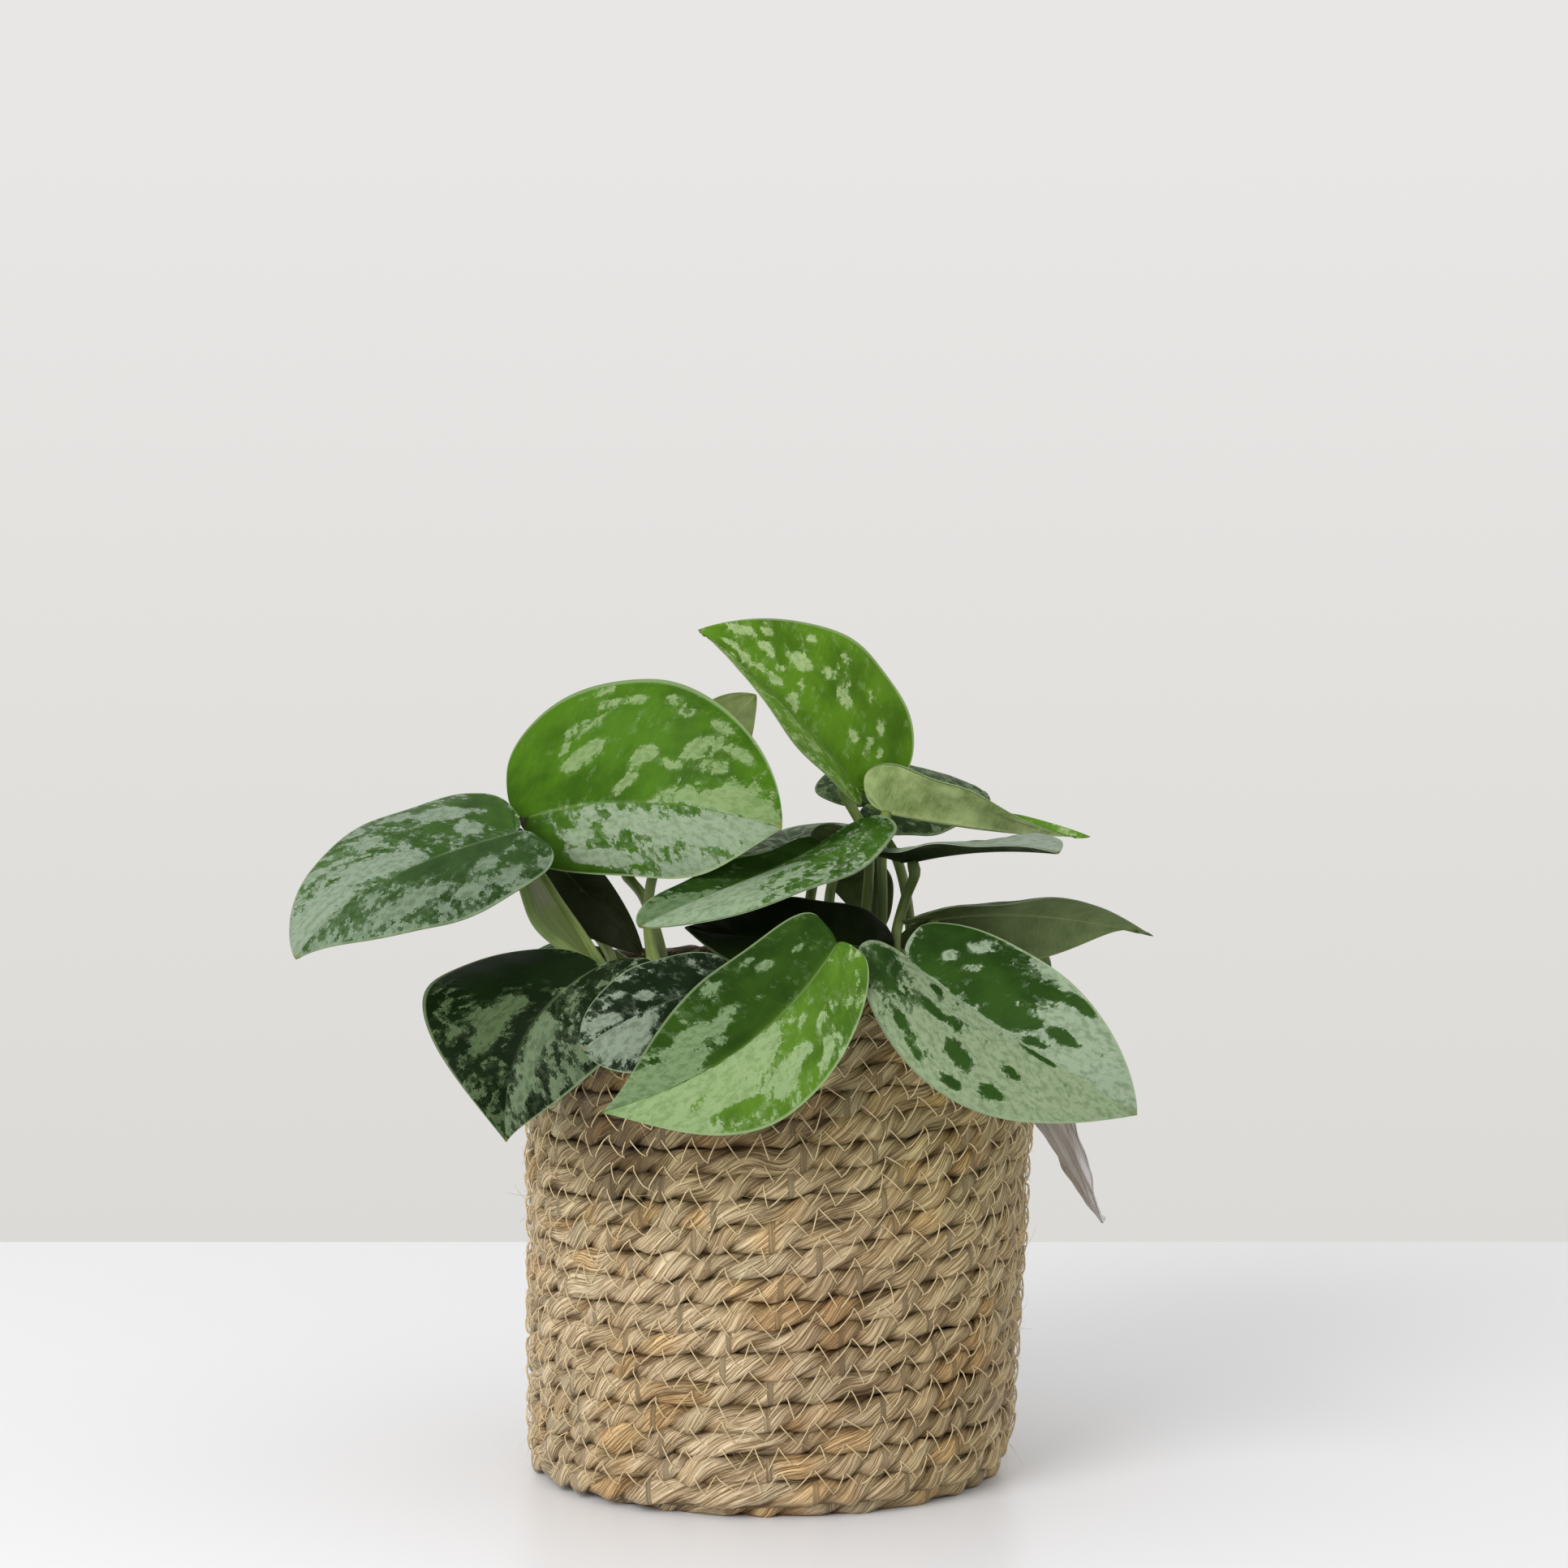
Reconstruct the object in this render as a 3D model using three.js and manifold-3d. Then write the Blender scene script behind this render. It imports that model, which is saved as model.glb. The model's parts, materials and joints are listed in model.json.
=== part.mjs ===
// A satin pothos in a black nursery pot, standing in a round basket of coiled rope.
// Units are millimetres, +Z is up, and the origin is the centre of the basket's underside.
// The plant's best side looks along -Y.
import * as THREE from "three";
import { mergeVertices } from "three/addons/utils/BufferGeometryUtils.js";
import Module from "manifold-3d";

const wasm = await Module();
wasm.setup();

// ---------------------------------------------------------------- driving dimensions

const BASKET = {
  height: 140,
  lean: 4, // how far the rim's centre stands to +X of the base's
  bottomRadius: 68, // to the crest of the rope
  topRadius: 72,
  rows: 20, // turns of rope up the wall
  wall: 7.4,
  floor: 8,
  flatRadius: 61, // the flat underside
  cornerDrop: 3, // how far the lowest rope steps in
  groove: 1.7, // depth between two turns
  lump: 0.6, // half the height of the twist's lumps
  columns: 48,
  slope: 0.05, // the turns rise towards +X in front, as hand-laid rope does
};

const POT = {
  bottom: 8.6,
  top: 124,
  bottomRadius: 44,
  topRadius: 57.5,
  wall: 1.4,
  lipHeight: 9,
  lipWidth: 1.6,
  centreX: 3,
  columns: 32,
};

const SOIL = { bottom: 10.5, top: 112, mound: 2.5, gap: 0.4, columns: 32 };

const GAP = 0.3; // kept between two pieces that touch on the real plant
const BLADE = 0.8; // thickness of a leaf
const BLADE_STEPS = [3, 4, 6]; // margin steps: sinus to lobe, lobe to widest, widest to tip
const BLADE_ROWS = 3; // steps from midrib to margin
const TUBE_SIDES = 7;
const PETIOLE_RADIUS = 1.5;
const CANE_RADIUS = 3;

const COLOUR = {
  rope: 0xa88a58,
  pot: 0x1d1d1d,
  soil: 0x3a2a20,
  stem: 0x6f8436,
  leaf: 0x4f7a3a,
  withered: 0x8d8984,
};

// ---------------------------------------------------------------- leaves
// base is where the petiole meets the blade, and tip is the blade's point.
// roll turns the blade about the line between them: more than 0 lifts its left half.
// width and the other pairs are [left half, right half], as seen from above with the tip ahead.
// lobe is how far a half reaches behind the base. wide is where it is widest, as a share of the length.
// point is how drawn out the tip is. arch lifts the middle of the midrib, and sweep moves it to the left.
// hook lifts the part near the tip. fold raises a half at the midrib, and curl turns it down to its margin.

const LEAVES = {
  leaf_01_far_left: {
    base: [-70, -20, 181], tip: [-128, -44, 149], roll: -34, twist: 7, width: [24.5, 30],
    lobe: [5, 5], wide: [0.45, 0.3], point: [0.15, 0.05], arch: 4, hook: 6,
    fold: [10, 5], curl: [30, 30],
  },
  leaf_02_round_upright: {
    base: [-67, -4, 184], tip: [3.5, -34, 183.5], roll: 80, twist: -15, width: [35, 21], lobe: [8, 1],
    wide: [0.45, 0.55], point: [0.02, 0.13], arch: 4.5, hook: 2, sweep: 5, fold: [10, 5], curl: [18, 40],
  },
  leaf_03_top: {
    base: [24, 12, 191], tip: [-20, 2, 236], roll: -52, width: [17, 30], lobe: [3, 9],
    point: [0.32, 0.13], arch: 3, fold: [36, 36], curl: [15, 25],
  },
  leaf_04_behind_round: {
    base: [-30, 22, 179], tip: [-4, 32, 216], roll: -50, width: [24, 22], lobe: [7, 7],
    wide: [0.4, 0.4], point: [0.1, 0.1], arch: 3, fold: [4, 4], curl: [10, 10],
  },
  leaf_05_middle: {
    base: [14, 5, 175.5], tip: [-35, -47, 158], roll: 5, twist: -18, width: [34, 10], lobe: [14, 2],
    wide: [0.2, 0.6], point: [0.02, 0.0], hook: 2, sweep: 8, fold: [13, 20], curl: [13, 8],
  },
  leaf_06_shaded: {
    base: [30, -26, 149], tip: [-23, -38, 157], roll: -24, width: [22, 21], lobe: [8, 6],
    wide: [0.3, 0.22], point: [0.12, 0.18], arch: 4, hook: -3, sweep: 2, fold: [0, 8], curl: [20, 5],
  },
  leaf_07_front: {
    base: [18, -66, 155.5], tip: [-44, -92, 114.5], roll: -45, twist: -38, width: [22, 21],
    lobe: [3, 1.5], wide: [0.5, 0.4], point: [0.17, 0.2], arch: 1, sweep: 9,
    fold: [12, 8], curl: [16, 20],
  },
  leaf_08_behind_front: {
    base: [-14, -72, 145.5], tip: [-49, -80, 129.5], roll: -60, width: [18, 13], lobe: [5, 5],
    wide: [0.4, 0.4], point: [0.02, 0.02], arch: 3, hook: 3, fold: [5, 5], curl: [20, 20],
  },
  leaf_09_low_left: {
    base: [-46.5, -48, 147], tip: [-70, -66, 102.5], roll: -11, twist: -47, width: [24.5, 35],
    lobe: [7, 3], wide: [0.26, 0.3], point: [0.2, 0.17], arch: 5.5, hook: 1, sweep: -5.5,
    fold: [8, 6], curl: [27, 17],
  },
  leaf_10_low_right: {
    base: [37, -57, 150.5], tip: [97, -80, 112], roll: 41, twist: 46, width: [23, 27], lobe: [4, 11],
    wide: [0.32, 0.34], point: [0.1, 0.15], arch: 2, hook: 3, sweep: -4.5, fold: [3, 29], curl: [17, 24],
  },
  leaf_11_right: {
    base: [44, -6, 155.5], tip: [109, 20, 148], roll: -36, twist: -18, width: [21.5, 13.5], lobe: [5.5, 9],
    wide: [0.4, 0.28], point: [0.42, 0.22], arch: 3, hook: -1.5, sweep: -4,
    fold: [0, -5], curl: [3, 27],
  },
  leaf_12_young: {
    base: [32, 10, 184.5], tip: [89.5, -2, 178.4], roll: -30, twist: 50, width: [9, 19], lobe: [6, 6],
    point: [0.16, 0.36], arch: -1.5, fold: [40, 40], curl: [20, 20],
  },
  leaf_13_behind_young: {
    base: [28, 26, 185], tip: [62, 60, 186], roll: 24, width: [24, 18], lobe: [7, 7],
    point: [0.05, 0.05], arch: 3, curl: [20, 20],
  },
  leaf_14_level: {
    base: [39, -6, 172], tip: [78, -46, 178], twist: 4, width: [18.5, 19], lobe: [8, 4],
    point: [0.05, 0.05], arch: 1.8, fold: [21, 24], curl: [30, 30],
  },
  leaf_15_hanging: {
    base: [24, 26, 176], tip: [32, 40, 147], width: [15, 9], lobe: [6, 6], arch: 3, curl: [40, 40],
  },
  leaf_16_inner_left: {
    base: [-69, 16, 178], tip: [-35, -2, 145], roll: 60, width: [9, 12], lobe: [6, 6],
    arch: 4, curl: [40, 40],
  },
  leaf_17_back_left: {
    base: [-40, 38, 168], tip: [-80, 84, 152], roll: 8, width: [25, 25], lobe: [9, 9],
    arch: 6, hook: 3, fold: [10, 10], curl: [25, 25],
  },
  leaf_18_back: {
    base: [6, 46, 172], tip: [2, 108, 152], roll: -6, width: [24, 25], lobe: [9, 9],
    arch: 7, hook: 4, fold: [8, 8], curl: [25, 25],
  },
  leaf_19_back_right: {
    base: [52, 42, 147], tip: [79, 86, 116], roll: 4, width: [20, 17], lobe: [8, 8],
    arch: 6, hook: 2, fold: [8, 8], curl: [15, 15],
  },
  leaf_20_back_low: {
    base: [14, 62, 147.5], tip: [8, 98, 98], roll: 6, width: [23, 24], lobe: [7, 7],
    arch: 6, hook: 2, fold: [8, 8], curl: [20, 20],
  },
  leaf_21_back_low_left: {
    base: [-53, 40, 146], tip: [-88, 64, 108], roll: -8, width: [22, 22], lobe: [7, 7],
    arch: 6, hook: 2, fold: [8, 8], curl: [20, 20],
  },
  leaf_22_withered: {
    base: [62, 48, 127], tip: [95, 20, 65.5], roll: -68, width: [11, 12], lobe: [4, 4],
    wide: [0.35, 0.35], point: [0.2, 0.2], arch: -1, fold: [20, 20], curl: [10, 10], withered: true,
  },
};

const LEAF_DEFAULTS = {
  roll: 0, twist: 0, wide: [0.28, 0.28], point: [0.14, 0.14], arch: 0, hook: 0, sweep: 0,
  fold: [0, 0], curl: [0, 0],
};
const WAVE = { height: 0.8, turns: 2, shift: 1.7 }; // the margins' slow ripple, and the halves' offset

// ---------------------------------------------------------------- stems
// Each cane comes up through the soil and carries a petiole for each of its leaves.
// A petiole's points lead from the cane to a few millimetres below its blade.

const CANES = {
  stem_1_left: {
    cane: [[-36, -10, 100], [-37, -12, 118], [-42, -18, 132], [-46, -22, 143]],
    petioles: {
      leaf_01_far_left: [[-46, -22, 142], [-56, -21, 149], [-64, -20, 156], [-68, -18, 166]],
      leaf_02_round_upright: [[-45, -18, 140], [-52, -9, 151], [-61, -1, 163], [-67, 1, 174]],
      leaf_09_low_left: [[-44, -21, 138], [-45, -32, 142], [-46, -42, 142.5]],
      leaf_16_inner_left: [[-41, -15, 130], [-46, 8, 146], [-64, 24, 164]],
    },
  },
  stem_2_inner: {
    cane: [[-28, -2, 100], [-29, -4, 120], [-31, -7, 140]],
    petioles: {
      leaf_04_behind_round: [[-31, -7, 138], [-34, 4, 152], [-33, 16, 166]],
      leaf_17_back_left: [[-29, -4, 124], [-30, 8, 142], [-36, 28, 158]],
      leaf_21_back_low_left: [[-28, -2, 116], [-34, 18, 132], [-45, 35, 141]],
    },
  },
  stem_3_front: {
    cane: [[6, -12, 100], [8, -14, 120], [10, -16, 138]],
    petioles: {
      leaf_05_middle: [[9, -15, 128], [10, -6, 148], [12, 4, 164]],
      leaf_06_shaded: [[9, -16, 132], [20, -20, 142], [29, -26, 146]],
      leaf_07_front: [[10, -16, 132], [14, -32, 136], [17.5, -50, 136.5], [17.8, -62, 146]],
      leaf_08_behind_front: [[8, -14, 124], [-2, -34, 136], [-9, -56, 143]],
    },
  },
  stem_4_tall: {
    cane: [[22, 2, 100], [23, 0, 120], [25, -3, 140]],
    petioles: {
      leaf_03_top: [[25, -3, 138], [27, 6, 156], [27.5, 14, 176]],
      leaf_12_young: [[24, -2, 132], [31, 6, 150], [31.5, 8, 172]],
      leaf_15_hanging: [[23, 0, 124], [17, 10, 146], [18, 22, 164]],
      leaf_18_back: [[22, 2, 112], [12, 22, 140], [4, 36, 160]],
    },
  },
  stem_5_right: {
    cane: [[36, -6, 100], [37, -8, 120], [37, -12, 138]],
    petioles: {
      leaf_10_low_right: [[37, -12, 136], [44, -30, 142], [43, -50, 144]],
      leaf_11_right: [[37, -10, 130], [41, -8, 144]],
      leaf_14_level: [[37, -12, 136], [35, -9, 150], [38, -6, 162]],
      leaf_13_behind_young: [[37, -8, 122], [40, 10, 146], [36, 24, 170]],
    },
  },
  stem_6_back: {
    cane: [[16, 26, 100], [18, 28, 120], [22, 30, 134]],
    petioles: {
      leaf_19_back_right: [[22, 30, 132], [38, 33, 140], [47, 37, 142]],
      leaf_20_back_low: [[18, 28, 124], [14, 44, 137], [14, 57, 141.5]],
      leaf_22_withered: [[20, 29, 126], [38, 38, 141], [52, 47, 144.5], [60, 50, 140]],
    },
  },
};

// ---------------------------------------------------------------- solids and meshes

// A geometry's shared vertices merged, as a manifold-3d solid.
function solidOf(geometry) {
  const bare = geometry.clone();
  bare.deleteAttribute("normal");
  bare.deleteAttribute("uv");
  const merged = mergeVertices(bare, 1e-4);
  return new wasm.Manifold(
    new wasm.Mesh({
      numProp: 3,
      vertProperties: new Float32Array(merged.attributes.position.array),
      triVerts: new Uint32Array(merged.index.array),
    }),
  );
}

function geometryOf(solid) {
  const mesh = solid.getMesh();
  const geometry = new THREE.BufferGeometry();
  geometry.setAttribute("position", new THREE.BufferAttribute(mesh.vertProperties, 3));
  geometry.setIndex(new THREE.BufferAttribute(mesh.triVerts, 1));
  return geometry;
}

// points is a list of Vector3 and triangles a list of index triples.
function geometryFrom(points, triangles) {
  const geometry = new THREE.BufferGeometry().setFromPoints(points);
  geometry.setIndex(triangles.flat());
  return geometry;
}

function namedMesh(name, geometry, color, roughness) {
  geometry.computeVertexNormals();
  const mesh = new THREE.Mesh(geometry, new THREE.MeshStandardMaterial({ color, roughness }));
  mesh.name = name;
  return mesh;
}

// Rings of equal length are skinned one to the next, and the first and last are closed to their middles.
// The surface faces out when the rings run up the inside of the solid's outline as a lathe's profile does.
function skinRings(rings) {
  const columns = rings[0].length;
  const points = rings.flat();
  const triangles = [];
  for (let row = 0; row + 1 < rings.length; row++) {
    for (let column = 0; column < columns; column++) {
      const next = (column + 1) % columns;
      const [a, b] = [row * columns + column, row * columns + next];
      const [c, d] = [a + columns, b + columns];
      triangles.push([a, b, d], [a, d, c]);
    }
  }
  const middle = (ring) =>
    ring.reduce((sum, point) => sum.add(point), new THREE.Vector3()).divideScalar(columns);
  const first = points.push(middle(rings[0])) - 1;
  const last = points.push(middle(rings.at(-1))) - 1;
  const top = (rings.length - 1) * columns;
  for (let column = 0; column < columns; column++) {
    const next = (column + 1) % columns;
    triangles.push([first, next, column], [last, top + column, top + next]);
  }
  return geometryFrom(points, triangles);
}

// One ring of a round piece: radius and height may be numbers or functions of the column.
function ringOf(columns, centreX, radius, height) {
  const at = (value, column, angle) => (typeof value === "function" ? value(column, angle) : value);
  return Array.from({ length: columns }, (_, column) => {
    const angle = (2 * Math.PI * column) / columns;
    const r = at(radius, column, angle);
    const z = at(height, column, angle);
    const x = typeof centreX === "function" ? centreX(z) : centreX;
    return new THREE.Vector3(x + r * Math.cos(angle), r * Math.sin(angle), z);
  });
}

// A round tube along a smooth curve through the points, with flat ends and a radius at each end.
function tubeAlong(points, startRadius, endRadius, steps) {
  const curve = new THREE.CatmullRomCurve3(points, false, "centripetal");
  const { normals, binormals } = curve.computeFrenetFrames(steps, false);
  const rings = Array.from({ length: steps + 1 }, (_, step) => {
    const share = step / steps;
    const centre = curve.getPointAt(share);
    const radius = startRadius + (endRadius - startRadius) * share;
    return Array.from({ length: TUBE_SIDES }, (_, side) => {
      const angle = (2 * Math.PI * side) / TUBE_SIDES;
      return centre
        .clone()
        .addScaledVector(normals[step], radius * Math.cos(angle))
        .addScaledVector(binormals[step], radius * Math.sin(angle));
    });
  });
  return skinRings(rings);
}

// ---------------------------------------------------------------- basket, pot and soil

function basket() {
  const pitch = BASKET.height / BASKET.rows;
  const centre = (z) => (BASKET.lean * z) / BASKET.height;
  const flare = BASKET.topRadius - BASKET.bottomRadius;
  const crest = (z) => BASKET.bottomRadius + (flare * z) / BASKET.height;
  const corner = (z) => BASKET.cornerDrop * Math.max(0, 1 - z / (1.5 * pitch)) ** 2;
  // The slope fades out at the floor and at the rim, which lie level.
  const sloped = (z) => (_, angle) =>
    z + BASKET.slope * crest(z) * Math.cos(angle) * Math.sin((Math.PI * z) / BASKET.height);
  const ring = (radius, height) => ringOf(BASKET.columns, centre, radius, height);
  const rings = [ring(BASKET.flatRadius / 2, 0), ring(BASKET.flatRadius, 0)];
  for (let row = 0; row < BASKET.rows; row++) {
    const low = row * pitch;
    const mid = low + pitch / 2;
    if (row > 0) rings.push(ring(crest(low) - BASKET.groove - corner(low), sloped(low)));
    const lumps = (column) => crest(mid) - corner(mid) + BASKET.lump * ((column + row) % 2 ? 1 : -1);
    rings.push(ring(lumps, sloped(mid)));
  }
  const inner = BASKET.topRadius - BASKET.wall;
  const innerBottom = BASKET.bottomRadius - BASKET.wall;
  rings.push(ring(BASKET.topRadius - BASKET.groove, BASKET.height));
  rings.push(ring(inner + BASKET.groove, BASKET.height));
  rings.push(ring(inner, BASKET.height - pitch / 2));
  rings.push(ring(innerBottom, BASKET.floor));
  rings.push(ring(innerBottom / 2, BASKET.floor));
  return namedMesh("basket", skinRings(rings), COLOUR.rope, 0.95);
}

function growPot() {
  const { bottom, top, bottomRadius, topRadius, wall, lipHeight, lipWidth, centreX, columns } = POT;
  const ring = (radius, height) => ringOf(columns, centreX, radius, height);
  const below = top - lipHeight;
  const flare = (topRadius - lipWidth - bottomRadius) / (below - bottom);
  const outer = (z) => bottomRadius + flare * (z - bottom);
  const rings = [
    ring(bottomRadius / 2, bottom),
    ring(bottomRadius, bottom),
    ring(outer(below), below),
    ring(topRadius, below),
    ring(topRadius, top),
    ring(topRadius - lipWidth, top),
    ring(outer(below) - wall, below - wall),
    ring(bottomRadius - wall, bottom + wall),
    ring(bottomRadius / 2, bottom + wall),
  ];
  return namedMesh("grow_pot", skinRings(rings), COLOUR.pot, 0.6);
}

function soil(holes) {
  const { bottom, top, mound, gap, columns } = SOIL;
  const below = POT.top - POT.lipHeight;
  const inner = (z) =>
    POT.bottomRadius - POT.wall - gap +
    ((POT.topRadius - POT.lipWidth - POT.bottomRadius) * (z - POT.bottom)) / (below - POT.bottom);
  const ring = (radius, height) => ringOf(columns, POT.centreX, radius, height);
  const lumpy = (share) => (column) => top + mound * (1 - share) + Math.sin(column * 2.4 + share * 9);
  const rings = [ring(inner(bottom) / 2, bottom), ring(inner(bottom), bottom), ring(inner(top), top)];
  for (const share of [0.85, 0.6, 0.35]) rings.push(ring(inner(top) * share, lumpy(share)));
  const cut = holes.reduce((solid, hole) => solid.subtract(hole), solidOf(skinRings(rings)));
  return namedMesh("soil", geometryOf(cut), COLOUR.soil, 1);
}

// ---------------------------------------------------------------- leaves

const radians = THREE.MathUtils.degToRad;
const vector = (list) => new THREE.Vector3(...list);

// The blade's own axes at its base: along to the tip, left, and up out of its upper face.
function bladeFrame({ base, tip, roll }) {
  const start = vector(base);
  const along = vector(tip).sub(start);
  const length = along.length();
  along.normalize();
  const level = new THREE.Vector3(0, 0, 1).addScaledVector(along, -along.z).normalize();
  const left = new THREE.Vector3().crossVectors(level, along).applyAxisAngle(along, radians(roll));
  return { start, length, along, left, up: level.applyAxisAngle(along, radians(roll)) };
}

// One half's margin, flat: from the sinus round the lobe and the widest place to the tip.
function marginOf(length, width, lobe, wide, point) {
  const at = (x, y) => new THREE.Vector2(x, y);
  const curves = [
    new THREE.CubicBezierCurve(
      at(0, 0), at(-0.55 * lobe, 0.02 * width), at(-lobe, 0.12 * width), at(-lobe, 0.42 * width)),
    new THREE.CubicBezierCurve(
      at(-lobe, 0.42 * width), at(-lobe, 0.78 * width), at(0.5 * (wide - lobe), width), at(wide, width)),
    new THREE.CubicBezierCurve(
      at(wide, width), at(0.5 * (wide + length), width),
      at((1 - 0.6 * point) * length, (0.62 - 2.2 * point) * width), at(length, 0)),
  ];
  const points = [at(0, 0)];
  curves.forEach((curve, index) => {
    const steps = BLADE_STEPS[index];
    for (let step = 1; step <= steps; step++) points.push(curve.getPoint(step / steps));
  });
  return points;
}

// A point of the blade from its flat place: x along the midrib, y out from it on one half.
function bladePoint(leaf, frame, side, x, y) {
  const share = x / frame.length;
  const fold = radians(leaf.fold[side]);
  const width = leaf.width[side];
  const bend = radians(leaf.curl[side]) / width;
  const sign = side === 0 ? 1 : -1;
  const out = bend ? (Math.sin(bend * y - fold) + Math.sin(fold)) / bend : y * Math.cos(fold);
  let rise = bend ? (Math.cos(bend * y - fold) - Math.cos(fold)) / bend : y * Math.sin(fold);
  const ripple = Math.sin(2 * Math.PI * WAVE.turns * share + side * WAVE.shift);
  rise += WAVE.height * (y / width) ** 2 * ripple;
  const twist = radians(leaf.twist) * share;
  const bow = 4 * share * (1 - share);
  const ahead = Math.max(0, Math.min(1, share));
  const hook = leaf.hook * 1.87 * (ahead - ahead ** 5);
  const left = sign * out * Math.cos(twist) - rise * Math.sin(twist) + leaf.sweep * bow;
  const up = sign * out * Math.sin(twist) + rise * Math.cos(twist) + leaf.arch * bow + hook;
  return frame.start
    .clone()
    .addScaledVector(frame.along, x)
    .addScaledVector(frame.left, left)
    .addScaledVector(frame.up, up);
}

// The blade's middle surface: points, and triangles that face its upper side.
function bladeSheet(leaf) {
  const frame = bladeFrame(leaf);
  const points = [];
  const seen = new Map();
  const add = (point) => {
    const key = point.toArray().map((value) => Math.round(value * 1e4)).join();
    if (!seen.has(key)) seen.set(key, points.push(point) - 1);
    return seen.get(key);
  };
  const triangles = [];
  const margins = [0, 1].map((side) => {
    const margin = marginOf(
      frame.length, leaf.width[side], leaf.lobe[side], leaf.wide[side] * frame.length, leaf.point[side]);
    const last = margin.length - 1;
    const lobeEnd = BLADE_STEPS[0] / last;
    const grid = margin.map((edge, index) => {
      const rib = Math.max(0, (index / last - lobeEnd) / (1 - lobeEnd)) ** 1.25 * frame.length;
      return Array.from({ length: BLADE_ROWS + 1 }, (_, row) => {
        const out = row / BLADE_ROWS;
        return add(bladePoint(leaf, frame, side, rib + (edge.x - rib) * out, edge.y * out));
      });
    });
    for (let index = 0; index < last; index++) {
      for (let row = 0; row < BLADE_ROWS; row++) {
        const [a, b] = [grid[index][row], grid[index][row + 1]];
        const [c, d] = [grid[index + 1][row], grid[index + 1][row + 1]];
        const pair = [[a, c, d], [a, d, b]];
        if (side === 1) pair.forEach((triangle) => triangle.reverse());
        triangles.push(...pair.filter((t) => new Set(t).size === 3));
      }
    }
    return grid.map((ribs) => ribs.at(-1));
  });
  const [leftMargin, rightMargin] = margins;
  const outline = [...leftMargin, ...rightMargin.slice(1, -1).reverse()];
  return { points, triangles, outline };
}

function leafBlade(name, settings) {
  const leaf = { ...LEAF_DEFAULTS, ...settings };
  const { points, triangles, outline } = bladeSheet(leaf);
  const normals = points.map(() => new THREE.Vector3());
  for (const corners of triangles) {
    const [a, b, c] = corners.map((corner) => points[corner]);
    const normal = new THREE.Vector3().crossVectors(b.clone().sub(a), c.clone().sub(a));
    corners.forEach((corner) => normals[corner].add(normal));
  }
  normals.forEach((normal) => normal.normalize());
  const shifted = (by) => points.map((point, index) => point.clone().addScaledVector(normals[index], by));
  const count = points.length;
  const faces = triangles.flatMap(([a, b, c]) => [[a, b, c], [c + count, b + count, a + count]]);
  outline.forEach((a, index) => {
    const b = outline[(index + 1) % outline.length];
    faces.push([a, b, b + count], [a, b + count, a + count]);
  });
  const geometry = geometryFrom([...shifted(BLADE / 2), ...shifted(-BLADE / 2)], faces);
  return namedMesh(name, geometry, leaf.withered ? COLOUR.withered : COLOUR.leaf, 0.5);
}

// ---------------------------------------------------------------- stems

// The petiole meets the blade square to its underside, just ahead of the sinus and a gap short of it.
function petiole(points, settings) {
  const leaf = { ...LEAF_DEFAULTS, ...settings };
  const frame = bladeFrame(leaf);
  const ahead = bladePoint(leaf, frame, 0, 1, 0);
  const midrib = bladePoint(leaf, frame, 0, 2, 0).sub(ahead).normalize();
  const square = frame.up.clone().addScaledVector(midrib, -frame.up.dot(midrib)).normalize();
  const below = (distance) => ahead.clone().addScaledVector(square, -distance);
  const end = BLADE / 2 + GAP + 0.2;
  const path = [...points.map(vector), below(end + 3), below(end)];
  return solidOf(tubeAlong(path, PETIOLE_RADIUS * 1.15, PETIOLE_RADIUS, 8));
}

function stem(name, { cane, petioles }) {
  const parts = Object.entries(petioles).map(([leaf, points]) => petiole(points, LEAVES[leaf]));
  const main = solidOf(tubeAlong(cane.map(vector), CANE_RADIUS, CANE_RADIUS * 0.8, 6));
  const whole = parts.reduce((solid, part) => solid.add(part), main);
  return namedMesh(name, geometryOf(whole), COLOUR.stem, 0.5);
}

// The hole that a stem stands in, a gap wider than everything of it that is in the soil.
function stemHoles({ cane, petioles }) {
  const wide = (points, radius) => solidOf(tubeAlong(points.map(vector), radius, radius, 8));
  const start = [cane[0][0], cane[0][1], cane[0][2] - 1];
  return [
    wide([start, ...cane.slice(1)], CANE_RADIUS + GAP + 0.2),
    ...Object.values(petioles)
      .filter((points) => points[0][2] < SOIL.top + 10 && points.length > 2)
      .map((points) => wide(points, PETIOLE_RADIUS * 1.15 + GAP + 0.4)),
  ];
}

// ---------------------------------------------------------------- the whole

const plant = new THREE.Group();
plant.add(basket(), growPot(), soil(Object.values(CANES).flatMap(stemHoles)));
for (const [name, cane] of Object.entries(CANES)) plant.add(stem(name, cane));
for (const [name, settings] of Object.entries(LEAVES)) plant.add(leafBlade(name, settings));

export default plant;
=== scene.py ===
"""The looks of a satin pothos in its basket of coiled rope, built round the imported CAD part.

Sizes are in millimetres, and MM turns them into Blender's metres. Only the camera, the light and
the scales of noise over an object's own coordinates are given in metres.
"""

import json
import math

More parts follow.
